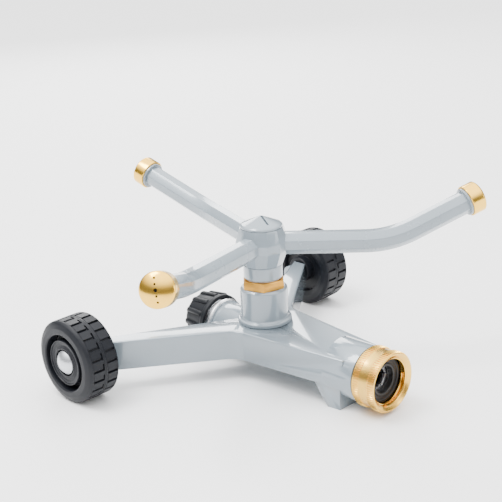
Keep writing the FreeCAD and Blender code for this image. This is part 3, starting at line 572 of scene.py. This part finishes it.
# %% Brass
nozzle_gold = make_finish("polished_brass", (0.98, 0.60, 0.10), (0.92, 0.53, 0.07), 0.14, 0.22, patch=90.0,
                          grain={"Scale": 1500.0, "Strength": 0.05, "Depth": 0.00003}, Metallic=1.0)
nut_brass = make_finish("satin_brass_nut", (0.84, 0.52, 0.12), (0.76, 0.45, 0.08), 0.20, 0.30, patch=70.0,
                        marks={"Centre": (0, 0, PIPE_HEIGHT), "Axis": (0, 1, 0),
                               "Rings_per_metre": 5200.0, "Strength": 0.35}, Metallic=1.0)
hex_brass = make_finish("machined_brass_hexagon", (0.74, 0.38, 0.07), (0.64, 0.31, 0.05), 0.30, 0.40,
                        patch=90.0, marks={"Centre": (0, 0, 0), "Axis": (0, 0, 1),
                                           "Rings_per_metre": 6000.0, "Strength": 0.35}, Metallic=1.0)

# %% Bright metal
bright_steel = make_finish("bright_turned_steel", (0.86, 0.87, 0.89), (0.76, 0.77, 0.79), 0.24, 0.34,
                           patch=80.0, marks={"Centre": (0, 0, PIPE_HEIGHT), "Axis": (0, 1, 0),
                                              "Rings_per_metre": 7000.0, "Strength": 0.3}, Metallic=1.0)
pin_steel = make_finish("plain_steel_pin", (0.60, 0.61, 0.63), (0.50, 0.51, 0.53), 0.28, 0.38,
                        patch=90.0, grain={"Scale": 1400.0, "Strength": 0.1, "Depth": 0.00004}, Metallic=1.0)
dome_metal = make_finish("satin_plated_dome", (0.60, 0.62, 0.65), (0.54, 0.56, 0.59), 0.30, 0.37,
                         patch=120.0, grain={"Scale": 1600.0, "Strength": 0.06, "Depth": 0.00003},
                         Metallic=0.9)

# %% Plastic and rubber
tyre_plastic = make_finish("charcoal_wheel_plastic", (0.006, 0.007, 0.010), (0.009, 0.010, 0.013),
                           0.40, 0.52, patch=45.0,
                           grain={"Scale": 2200.0, "Strength": 0.35, "Depth": 0.00006},
                           Specular_IOR_Level=0.22)
cap_plastic = make_finish("black_cap_plastic", (0.004, 0.005, 0.007), (0.006, 0.007, 0.010), 0.42, 0.54,
                          patch=60.0, grain={"Scale": 2400.0, "Strength": 0.25, "Depth": 0.00005},
                          Specular_IOR_Level=0.22)
washer_rubber = make_finish("black_washer_rubber", (0.002, 0.002, 0.003), (0.004, 0.004, 0.005),
                            0.50, 0.66, patch=120.0,
                            grain={"Scale": 3000.0, "Strength": 0.3, "Depth": 0.00005})
seal_rubber = make_finish("smooth_seal_rubber", (0.02, 0.02, 0.02), (0.03, 0.03, 0.03), 0.32, 0.42,
                          patch=150.0, grain={"Scale": 2600.0, "Strength": 0.15, "Depth": 0.00003})
bush_plastic = make_finish("pale_bearing_plastic", (0.66, 0.65, 0.60), (0.58, 0.57, 0.52), 0.42, 0.52,
                           patch=90.0, grain={"Scale": 2000.0, "Strength": 0.15, "Depth": 0.00004})

# %% [markdown]
# ## Base casting
# The base is a die casting: flat-topped box-section legs that meet under the post, a pipe
# barrel front and rear, and a foot.  Its exact shape is in the frame, so a softened copy is
# used, with the small radius that every edge of a casting has under thick paint.

# %% Build the base
base_mesh = softened("base_casting", 0.7)
finish_piece("painted_base_casting", base_mesh, "base", cast_enamel, ["base_casting"], crease=40.0)

# %% [markdown]
# ## Riser post, collar, hub and cap
# The post and collar are turned, with a bead at the foot of the post.  The hub keeps its
# twelve facets, which read as bright and dark panes, so its edges stay crisp.  The cap is a
# shallow cone with a coin slot across its top.

# %% Turned parts of the tower
post_profile = [(8.1, 42.0), (8.1, 50.6, 0.4), (12.4, 51.4, 0.9), (13.7, 50.1, 0.9), (13.7, 33.6, 0.9),
                (14.5, 32.7, 0.5), (15.7, 32.3, 0.9), (15.7, 30.3, 0.9), (14.8, 30.0), (14.8, 29.2),
                (10.4, 29.2), (10.4, 21.2), (8.1, 21.2)]
post_mesh = mesh_from(lathe(post_profile, segments=128), "post", UPRIGHT)
finish_piece("riser_post_painted", post_mesh, "base", post_enamel, ["riser_post"])
collar_profile = [(8.65, 57.3), (10.9, 57.15, 0.3), (11.4, 57.6, 0.3), (11.4, 64.7, 0.25),
                  (11.0, 65.0, 0.2), (8.65, 65.0)]
collar_mesh = mesh_from(lathe(collar_profile, segments=112), "collar", UPRIGHT)
finish_piece("hub_collar_painted", collar_mesh, "rotor", post_enamel, ["hub_collar"])

# %% Faceted hub
hub_mesh = softened("rotor_hub", 0.2, segments=2, sharp=14.0)
finish_piece("hub_with_facets", hub_mesh, "rotor", post_enamel, ["rotor_hub"], crease=12.0)

# %% Hub cap with its slot


def carved(shape, cutter, place, name):
    """Cut one closed shape out of another, both drawn in millimetres."""
    body = bpy.data.objects.new("carve", mesh_from(shape, name, UPRIGHT))
    tool = bpy.data.objects.new("tool", mesh_from(cutter, "tool", UPRIGHT))
    for item in (body, tool):
        bpy.context.scene.collection.objects.link(item)
    boolean = body.modifiers.new("carve", "BOOLEAN")
    boolean.operation = "DIFFERENCE"
    boolean.solver = "EXACT"
    boolean.object = tool
    mesh = bake_holder(body)
    bpy.data.objects.remove(tool)
    mesh.transform(place @ UPRIGHT.inverted())
    return mesh


SLOT_TURN = 72.4
cap_profile = [(0, 93.4), (1.2, 93.1, 0.8), (11.1, 88.95, 0.7), (12.1, 88.2, 0.5), (12.1, 87.3, 0.3),
               (11.8, 87.05), (9.15, 87.05), (9.15, 84.7), (8.1, 84.7), (8.1, 87.3), (0, 87.3)]
slot_cutter = box_shape((-8.6, -0.6, 89.4), (8.6, 0.6, 99.0))
cap_place = Matrix.Rotation(math.radians(SLOT_TURN), 4, "Z") @ UPRIGHT
cap_mesh = carved(lathe(cap_profile, closed=False, segments=120), slot_cutter, cap_place, "cap")
finish_piece("hub_cap_with_slot", cap_mesh, "rotor", post_enamel, ["hub_cap"])

# %% [markdown]
# ## Arms
# Each arm is one eight-sided tube with a single bend, so a line of three points goes through
# the tube tree, which rounds the corner to the bend radius and sweeps the section along it.
# The turned end that carries the spray cap is added to the same mesh.

# %% Arm sizes
ARM_START = 11.6
ARM_REACH = 72.9
ARM_TIP = 50.4
ARM_HEIGHT = joints["rotor_spin"]["pos_m"][2]
ACROSS_FLATS = 12.4
ARM_CORNERS = (ACROSS_FLATS - 0.02) / math.cos(math.pi / 8)
BEND_RADIUS = 55.0


def arm_mesh(number):
    """The bent tube of one arm, from the hub to the axis of its spray cap."""
    twist = joints[f"nozzle_{number}_twist"]
    tip = Vector(twist["pos_m"])
    direction = Vector(twist["axis"])
    bend_point = tip - direction * ARM_TIP * MM
    outwards = Vector((bend_point.x, bend_point.y, 0)).normalized()
    start = outwards * ARM_START * MM + Vector((0, 0, ARM_HEIGHT))
    corner = outwards * ARM_REACH * MM + Vector((0, 0, ARM_HEIGHT))
    spine = bpy.data.meshes.new("spine")
    spine.from_pydata([start, corner, tip], [(0, 1), (1, 2)], [])
    swept = grow(tube_tree, spine, bend_radius=BEND_RADIUS * MM, across_corners=ARM_CORNERS * MM,
                 edge_round=0.7 * MM, material=arm_enamel)
    end_profile = [(0, 7.0), (6.0, 7.0, 0.4), (6.0, 5.6), (5.2, 5.6), (5.2, 3.8), (6.0, 3.8),
                   (6.0, 2.4), (8.2, 2.4, 0.3), (8.2, -1.2, 0.5), (5.0, -1.2), (0, -1.2)]
    end = mesh_from(lathe(end_profile, closed=False, segments=72), "end", axis_place(tip, direction))
    return joined(swept, end)


# %% Build the arms
for number in (1, 2, 3):
    finish_piece(f"bent_arm_{number}", arm_mesh(number), "rotor", arm_enamel,
                 [f"arm_{number}"], crease=20.0)

# %% [markdown]
# ## Spray caps
# Each cap is polished brass with a domed face.  One large hole and four small ones stand in a
# row across it.  The row is carved out of the turned shape, so the holes are real.

# %% Build the caps
ROW_TILT = 10.0
SPRAY_HOLES = [(0.0, 0.95), (-5.9, 0.55), (-2.95, 0.55), (2.95, 0.55), (5.9, 0.55)]


def dome(half_width, base, rise, steps=14):
    """Profile points of a dome from its rim to its crown."""
    radius = (half_width ** 2 + rise ** 2) / (2 * rise)
    top_angle = math.asin(half_width / radius)
    return [(radius * math.sin(top_angle * (1 - step / steps)),
             base + rise - radius * (1 - math.cos(top_angle * (1 - step / steps))))
            for step in range(steps + 1)]


def spray_cap(place, name):
    """One domed cap with its row of holes."""
    profile = [(0, 9.4), (6.8, 7.9), (7.2, 7.4), (7.2, 2.8), (8.35, 2.8), (8.35, 0.1), (8.8, 0.0, 0.25),
               (9.1, 0.35, 0.2), (9.1, 7.6, 0.5)]
    profile += dome(8.55, 8.25, 2.6)
    cutter = bmesh.new()
    for offset, radius in SPRAY_HOLES:
        bmesh.ops.create_cone(cutter, cap_ends=True, segments=20, radius1=radius, radius2=radius, depth=8.0,
                              matrix=Matrix.Translation((offset, 0, 9.5)))
    return carved(lathe(profile, closed=False, segments=96), cutter, place, name)


def row_turn(place, axis):
    """Degrees that stand the row of holes upright on its cap, plus the row's own tilt."""
    upwards = (Vector((0, 0, 1)) - axis * axis.z).normalized()
    across_axis = place.to_3x3() @ Vector((1, 0, 0))
    turn = math.degrees(across_axis.angle(upwards))
    if (across_axis.cross(upwards)).dot(axis) < 0:
        turn = -turn
    return turn + ROW_TILT


for number in (1, 2, 3):
    twist = joints[f"nozzle_{number}_twist"]
    turn = row_turn(axis_place(twist["pos_m"], twist["axis"]), Vector(twist["axis"]))
    place = axis_place(twist["pos_m"], twist["axis"], turn)
    finish_piece(f"spray_cap_{number}", spray_cap(place, f"cap_{number}"), f"nozzle_{number}",
                 nozzle_gold, [f"nozzle_cap_{number}"])
    print(f"hole row {number} turned by", round(turn, 1))

# %% [markdown]
# ## Brass hexagon and the bearing inside
# Only the spindle's hexagon shows, between post and collar.  It is a softened copy of the
# frame's node.  The bearing parts stay hidden and only need honest finishes.

# %% Spindle and hidden bearing
spindle_mesh = softened("spindle", 0.25, segments=2)
finish_piece("brass_spindle", spindle_mesh, "base", hex_brass, ["spindle"])


def dress_node(node, material):
    """Give a CAD node a finish without touching its mesh."""
    target = frame["nodes"][node]
    target.data.materials.clear()
    target.data.materials.append(material)
    target.data.shade_smooth()
    target.data.set_sharp_from_angle(angle=math.radians(30))


for node in ("lower_thrust_washer", "upper_thrust_washer", "bearing_bush"):
    dress_node(node, bush_plastic)
for node in ("rotor_seal", "nozzle_seal_1", "nozzle_seal_2", "nozzle_seal_3"):
    dress_node(node, seal_rubber)
for node in ("spindle_nut", "left_axle", "right_axle"):
    dress_node(node, pin_steel)
print("hidden bearing parts dressed")

# %% [markdown]
# ## Hose nut
# The brass nut has two knurled bands with a smooth waist between them and a thread inside its
# mouth.  The bands are a ring of small ridges from the ring tree, and the thread is the
# thread tree's spiral, half sunk in the wall.

# %% Nut body
THREAD_ROOT = 13.35
nut_profile = [(10.35, 2.3), (10.35, 0.1), (16.0, 0.0, 0.3), (16.5, 0.5, 0.15), (16.5, 4.55, 0.08),
               (16.25, 4.75, 0.08), (16.25, 10.15, 0.08), (16.5, 10.35, 0.08), (16.5, 14.5, 0.15),
               (16.2, 15.0, 0.3), (15.5, 15.15, 0.15), (THREAD_ROOT, 13.6, 0.2), (THREAD_ROOT, 9.85),
               (13.6, 9.85), (13.6, 2.3)]
nut_body = mesh_from(lathe(nut_profile, segments=128, steps=3), "nut", INLET)

# %% Knurl and thread of the nut
KNURL_COUNT = 76
KNURL_DEPTH = 0.48
BAND_RADIUS = 16.5
RIDGE_SHARE = 0.74
RIDGE_SINK = 0.25
END_SLOPE = 0.35


def knurl_band(low, high, place, material):
    """A band of straight knurling: one small ridge, repeated around the axis."""
    width = math.pi * BAND_RADIUS / KNURL_COUNT * RIDGE_SHARE
    foot, top = BAND_RADIUS - RIDGE_SINK, BAND_RADIUS + KNURL_DEPTH
    lowered = KNURL_DEPTH * 0.8
    section = [(foot, -width), (foot, width), (top, width * 0.3), (top, -width * 0.3)]
    seed = bmesh.new()
    rings = []
    levels = [(low, lowered), (low + END_SLOPE, 0.0), (high - END_SLOPE, 0.0), (high, lowered)]
    for level, shrink in levels:
        rings.append([seed.verts.new(((x - shrink if x > foot else x), y, level)) for x, y in section])
    mesh = mesh_from(skin(seed, rings), "knurl seed", UPRIGHT)
    band = grow(ring_tree, mesh, count=KNURL_COUNT, shift=0.0, material=material)
    band.transform(place @ UPRIGHT.inverted())
    return band


THREAD_BAR = 0.85
THREAD_PITCH = 2.209


def thread(radius, turns, start, place, material):
    """A helical thread ridge about the axis of a place."""
    empty = bpy.data.meshes.new("thread seed")
    helix = grow(thread_tree, empty, radius=radius * MM, bar=THREAD_BAR * MM, pitch=THREAD_PITCH * MM,
                 turns=turns, start=start * MM, material=material)
    helix.transform(place @ UPRIGHT.inverted())
    return helix


rear_band = knurl_band(0.4, 4.65, INLET, nut_brass)
front_band = knurl_band(10.25, 14.75, INLET, nut_brass)
nut_thread = thread(13.3, turns=1.3, start=10.75, place=INLET, material=nut_brass)
finish_piece("knurled_hose_nut", joined(nut_body, rear_band, front_band, nut_thread), "hose_nut",
             nut_brass, ["coupling_nut"], crease=28.0)

# %% Washer and tailpiece inside the nut
washer_profile = [(7.45, 5.1, 0.3), (13.1, 5.1), (13.1, 9.4, 0.6), (11.7, 9.5, 0.4), (11.2, 9.1, 0.3),
                  (9.4, 9.1, 0.3), (8.9, 9.5, 0.3), (7.45, 9.5, 0.6)]
washer_mesh = mesh_from(lathe(washer_profile, segments=96), "washer", INLET)
finish_piece("inlet_rubber_washer", washer_mesh, "base", washer_rubber, ["inlet_washer"])
finish_piece("hex_broached_tailpiece", softened("inlet_tailpiece", 0.2, segments=2), "base",
             bright_steel, ["inlet_tailpiece"])

# %% [markdown]
# ## Rear outlet
# A bright ring and a threaded spigot close the rear barrel, and a black ribbed cap screws
# over them.  The thread only shows when the cap is backed off.

# %% Nipple with its thread
nipple_profile = [(6.65, -9.4), (8.95, -9.4), (8.95, 0.05), (13.7, 0.15, 0.4), (14.4, 0.9, 0.5),
                  (14.4, 2.0, 0.5), (13.7, 2.6, 0.4), (11.8, 2.6), (11.8, 4.6), (12.35, 5.0),
                  (12.35, 14.9, 0.5), (11.9, 15.35, 0.3), (6.65, 15.35, 0.4)]
nipple_body = mesh_from(lathe(nipple_profile, segments=112), "nipple", OUTLET)
nipple_thread = thread(12.42, turns=3.6, start=5.9, place=OUTLET, material=bright_steel)
finish_piece("outlet_nipple_with_thread", joined(nipple_body, nipple_thread), "base",
             bright_steel, ["outlet_nipple"])

# %% Ribbed cap
CAP_LOW = (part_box("outlet_cap")[0].y - BARREL_BACK) / MM
CAP_HIGH = (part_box("outlet_cap")[1].y - BARREL_BACK) / MM
RIB_COUNT = 12
cap_body_profile = [(0, CAP_HIGH - 5.6), (13.45, CAP_HIGH - 5.6, 0.3), (13.45, CAP_LOW + 0.6),
                    (14.0, CAP_LOW), (15.6, CAP_LOW, 0.4), (15.9, CAP_LOW + 0.5, 0.4),
                    (15.9, CAP_LOW + 2.7, 0.4),
                    (15.3, CAP_LOW + 3.6, 0.4), (13.8, CAP_HIGH - 2.4, 1.4), (12.2, CAP_HIGH, 1.2),
                    (9.0, CAP_HIGH, 0.5), (8.3, CAP_HIGH - 0.9, 0.5), (0, CAP_HIGH - 0.9)]
cap_body = mesh_from(lathe(cap_body_profile, closed=False, segments=108), "outlet cap", OUTLET)


def grip_rib(low, high, inner, outer_low, outer_high, width):
    """One rounded grip rib that tapers with the cap."""
    seed = bmesh.new()
    rings = []
    levels = [(low, 1.1), (low + 0.8, 0.25), (low + 1.6, 0.0),
              (high - 1.6, 0.0), (high - 0.7, 0.45), (high, 1.5)]
    for level, sink in levels:
        share = (level - low) / (high - low)
        outer = outer_low + (outer_high - outer_low) * share - sink
        ring = [(inner, -width), (inner, width)]
        ring += [(outer - 0.9 + 0.9 * math.sin(math.radians(turn)), width * math.cos(math.radians(turn)))
                 for turn in range(15, 180, 30)]
        rings.append([seed.verts.new((x, y, level)) for x, y in ring])
    return mesh_from(skin(seed, rings), "rib", UPRIGHT)


rib_seed = grip_rib(CAP_LOW + 3.0, CAP_HIGH - 1.2, 12.0, 16.75, 15.0, 1.5)
cap_ribs = grow(ring_tree, rib_seed, count=RIB_COUNT, shift=0.0, material=cap_plastic)
cap_ribs.transform(OUTLET @ UPRIGHT.inverted())
finish_piece("ribbed_outlet_cap", joined(cap_body, cap_ribs), "outlet_plug", cap_plastic,
             ["outlet_cap"])
dress_node("outlet_cap_washer", washer_rubber)

# %% [markdown]
# ## Wheels
# The wheels are moulded in charcoal plastic.  The body is turned: a rounded shoulder, a deep
# ring groove, a flat disc with a raised lip, and a pocket for the axle cap.  The tread is two
# rows of blocks, one block repeated around the axle for each row, set half a pitch apart.
# Each block of the outer row has a small notch in one corner.

# %% Wheel sizes
TREAD_COUNT = 24
WHEEL_RADIUS = 24.0
GROOVE_FLOOR = 22.75
INNER_ROW = (1.9, 8.5)
OUTER_ROW = (10.7, 18.1)
GROOVE_HALF = 0.68
NOTCH_WIDTH = 2.7
NOTCH_DEPTH = 0.9
WHEEL_INNER_FACE = 0.0855


def tread_block(low, high, outer_row):
    """One tread block, curved to the wheel, with rounded top edges and a notch."""
    pitch_angle = 2 * math.pi / TREAD_COUNT
    half = pitch_angle / 2 - GROOVE_HALF / WHEEL_RADIUS
    notch_wide, notch_deep = NOTCH_WIDTH / WHEEL_RADIUS, NOTCH_DEPTH
    if outer_row:
        outline = [(-half, low + notch_deep), (-half + notch_wide, low + notch_deep),
                   (-half + notch_wide, low), (0, low), (half, low), (half, high), (0, high), (-half, high)]
    else:
        outline = [(-half, low), (0, low), (half, low), (half, high), (0, high), (-half, high)]
    seed = bmesh.new()
    rings = []
    for radius, inset in ((GROOVE_FLOOR - 0.2, 0.0), (WHEEL_RADIUS - 0.22, 0.0), (WHEEL_RADIUS, 0.16)):
        ring = []
        middle = (low + high) / 2
        for turn, level in outline:
            turn_in = turn - math.copysign(inset / WHEEL_RADIUS, turn) if abs(turn) > 1e-6 else 0.0
            level_in = level - math.copysign(inset, level - middle)
            ring.append(seed.verts.new((radius * math.cos(turn_in), radius * math.sin(turn_in), level_in)))
        rings.append(ring)
    return mesh_from(skin(seed, rings), "block", UPRIGHT)


def wheel_mesh(place):
    """Body and tread of one wheel, drawn with the outer face at the top."""
    floor = GROOVE_FLOOR
    profile = [(2.58, -1.8), (7.9, -1.8, 0.4), (8.4, -1.3, 0.3), (8.4, 4.0, 0.3), (14.5, 4.0, 0.3),
               (15.1, 1.1, 0.5), (18.4, 0.1, 1.2), (21.6, 0.1, 1.5), (23.7, 1.1, 1.0), (23.9, 1.9),
               (floor, 1.9), (floor, 8.4), (23.85, 8.5, 0.1), (23.85, 9.35), (23.98, 9.5), (23.85, 9.65),
               (23.85, 10.7, 0.1), (floor, 10.8), (floor, 18.1), (23.98, 18.1, 0.15), (23.85, 19.0, 0.6),
               (22.8, 20.2, 2.2), (20.0, 21.3, 2.0), (17.2, 21.35, 0.5), (16.4, 20.95, 0.4),
               (16.2, 14.4, 0.4), (13.2, 14.4, 0.4), (13.2, 20.6, 0.3), (12.5, 20.6, 0.25), (12.3, 20.0, 0.2),
               (11.0, 19.8, 0.4), (10.7, 19.55, 0.2), (9.9, 19.55, 0.2), (9.6, 19.8, 0.2), (8.9, 20.0, 0.3),
               (8.5, 20.4, 0.25), (7.7, 20.3, 0.3), (7.6, 18.4, 0.3), (2.58, 18.4)]
    body = mesh_from(lathe(profile, segments=144, steps=4), "wheel", place)
    parts = [body]
    for (low, high), is_outer, shift in ((OUTER_ROW, True, 0.0), (INNER_ROW, False, 0.5)):
        seed = tread_block(low, high, is_outer)
        row = grow(ring_tree, seed, count=TREAD_COUNT, shift=(shift + 0.5) * math.tau / TREAD_COUNT,
                   material=tyre_plastic)
        row.transform(place @ UPRIGHT.inverted())
        parts.append(row)
    return joined(*parts)


# %% Wheels and axle caps


def axle_cap_mesh(place):
    """The bright push-on dome in the middle of a wheel."""
    profile = [(2.55, 18.55), (4.3, 18.55), (4.3, 19.7), (6.6, 19.7, 0.2), (6.8, 19.95)]
    profile += dome(6.8, 20.2, 3.18)
    profile += [(0, 21.4)]
    return mesh_from(lathe(profile, closed=False, segments=80), "dome", place)


for side, direction in (("left", -1), ("right", 1)):
    roll = joints[f"{side}_wheel_roll"]["pos_m"]
    face = WHEEL_INNER_FACE * direction
    wheel_place = axis_place((face, roll[1], roll[2]), (direction, 0, 0))
    finish_piece(f"{side}_wheel_with_tread", wheel_mesh(wheel_place), f"wheel_{side}",
                 tyre_plastic, [f"{side}_wheel"], crease=30.0)
    finish_piece(f"{side}_axle_dome", axle_cap_mesh(wheel_place), "base", dome_metal,
                 [f"{side}_axle_cap"])

# %% [markdown]
# ## Floor, light and camera
# The sprinkler stands on a plain pale floor under soft studio light.  The sky is dim at the
# horizon and bright overhead, which keeps upright faces darker than tops.  A key light from
# above, a little left and behind, adds the broad sheen on the enamel.  A weak light fills from
# the front, and one from behind picks out the edges.

# %% Floor
floor_mesh = bpy.data.meshes.new("floor")
FLOOR_HALF = 6.0
corners = [(x * FLOOR_HALF, y * FLOOR_HALF, 0) for x, y in ((-1, -1), (1, -1), (1, 1), (-1, 1))]
floor_mesh.from_pydata(corners, [], [(0, 1, 2, 3)])
floor = bpy.data.objects.new("pale_floor", floor_mesh)
bpy.context.scene.collection.objects.link(floor)
floor_paint = bpy.data.materials.new("plain_pale_floor")
floor_paint.use_nodes = True
floor_shader = floor_paint.node_tree.nodes["Principled BSDF"]
floor_shader.inputs["Base Color"].default_value = (0.92, 0.92, 0.92, 1)
floor_shader.inputs["Roughness"].default_value = 0.7
floor_mesh.materials.append(floor_paint)
print("floor:", floor.name)

# %% World light
HORIZON_LIGHT = 0.35
OVERHEAD_LIGHT = 4.5
RISE_STARTS = 0.25
RISE_ENDS = 0.90
world = bpy.data.worlds.new("studio")
bpy.context.scene.world = world
world.use_nodes = True
sky = world.node_tree.nodes["Background"]
sky.inputs["Color"].default_value = (1.0, 1.0, 1.0, 1)
direction_in = world.node_tree.nodes.new("ShaderNodeTexCoord")
direction_xyz = world.node_tree.nodes.new("ShaderNodeSeparateXYZ")
climb = world.node_tree.nodes.new("ShaderNodeMapRange")
climb.interpolation_type = "SMOOTHSTEP"
for label, value in (("From Min", RISE_STARTS), ("From Max", RISE_ENDS),
                     ("To Min", HORIZON_LIGHT), ("To Max", OVERHEAD_LIGHT)):
    climb.inputs[label].default_value = value
wire(world.node_tree, direction_in.outputs["Generated"], direction_xyz.inputs[0])
wire(world.node_tree, direction_xyz.outputs["Z"], climb.inputs["Value"])
wire(world.node_tree, climb.outputs[0], sky.inputs["Strength"])
print("sky light:", HORIZON_LIGHT, "at the horizon,", OVERHEAD_LIGHT, "overhead")


def soft_light(name, place, target, size, power):
    """A square area light that looks at a point."""
    data = bpy.data.lights.new(name, "AREA")
    data.shape = "SQUARE"
    data.size = size
    data.energy = power
    lamp = bpy.data.objects.new(name, data)
    bpy.context.scene.collection.objects.link(lamp)
    lamp.location = place
    lamp.rotation_mode = "QUATERNION"
    lamp.rotation_quaternion = (Vector(target) - Vector(place)).to_track_quat("-Z", "Y")
    print("light:", name)


CENTRE = (0, 0, 0.05)
soft_light("key_from_above_left", (-0.45, 0.30, 1.15), CENTRE, 0.5, 16.0)
soft_light("fill_from_front", (0.35, -1.1, 0.35), CENTRE, 0.4, 2.2)
soft_light("rim_from_behind", (0.6, 0.9, 0.55), CENTRE, 0.5, 7.0)

# %% Camera
AZIMUTH, ELEVATION, ROLL = math.radians(-43.7), math.radians(19.42), math.radians(-2.58)
FOCAL_SHARE = 2.3103785
CAMERA_PLACE = Vector((-0.4357, -0.44665, 0.29238))
right_way = Vector((math.cos(AZIMUTH), math.sin(AZIMUTH), 0))
back_way = Vector((math.sin(AZIMUTH) * math.cos(ELEVATION), -math.cos(AZIMUTH) * math.cos(ELEVATION),
                   math.sin(ELEVATION)))
up_way = back_way.cross(right_way)
rolled_right = right_way * math.cos(ROLL) + up_way * math.sin(ROLL)
rolled_up = up_way * math.cos(ROLL) - right_way * math.sin(ROLL)
camera_data = bpy.data.cameras.new("camera")
camera_data.sensor_width = 36.0
camera_data.lens = FOCAL_SHARE * camera_data.sensor_width
camera_data.clip_start, camera_data.clip_end = 0.01, 20.0
camera = bpy.data.objects.new("camera", camera_data)
bpy.context.scene.collection.objects.link(camera)
stance = Matrix((rolled_right, rolled_up, back_way)).transposed().to_4x4()
camera.matrix_world = Matrix.Translation(CAMERA_PLACE) @ stance
bpy.context.scene.camera = camera
print("camera lens:", round(camera_data.lens, 1), "mm")
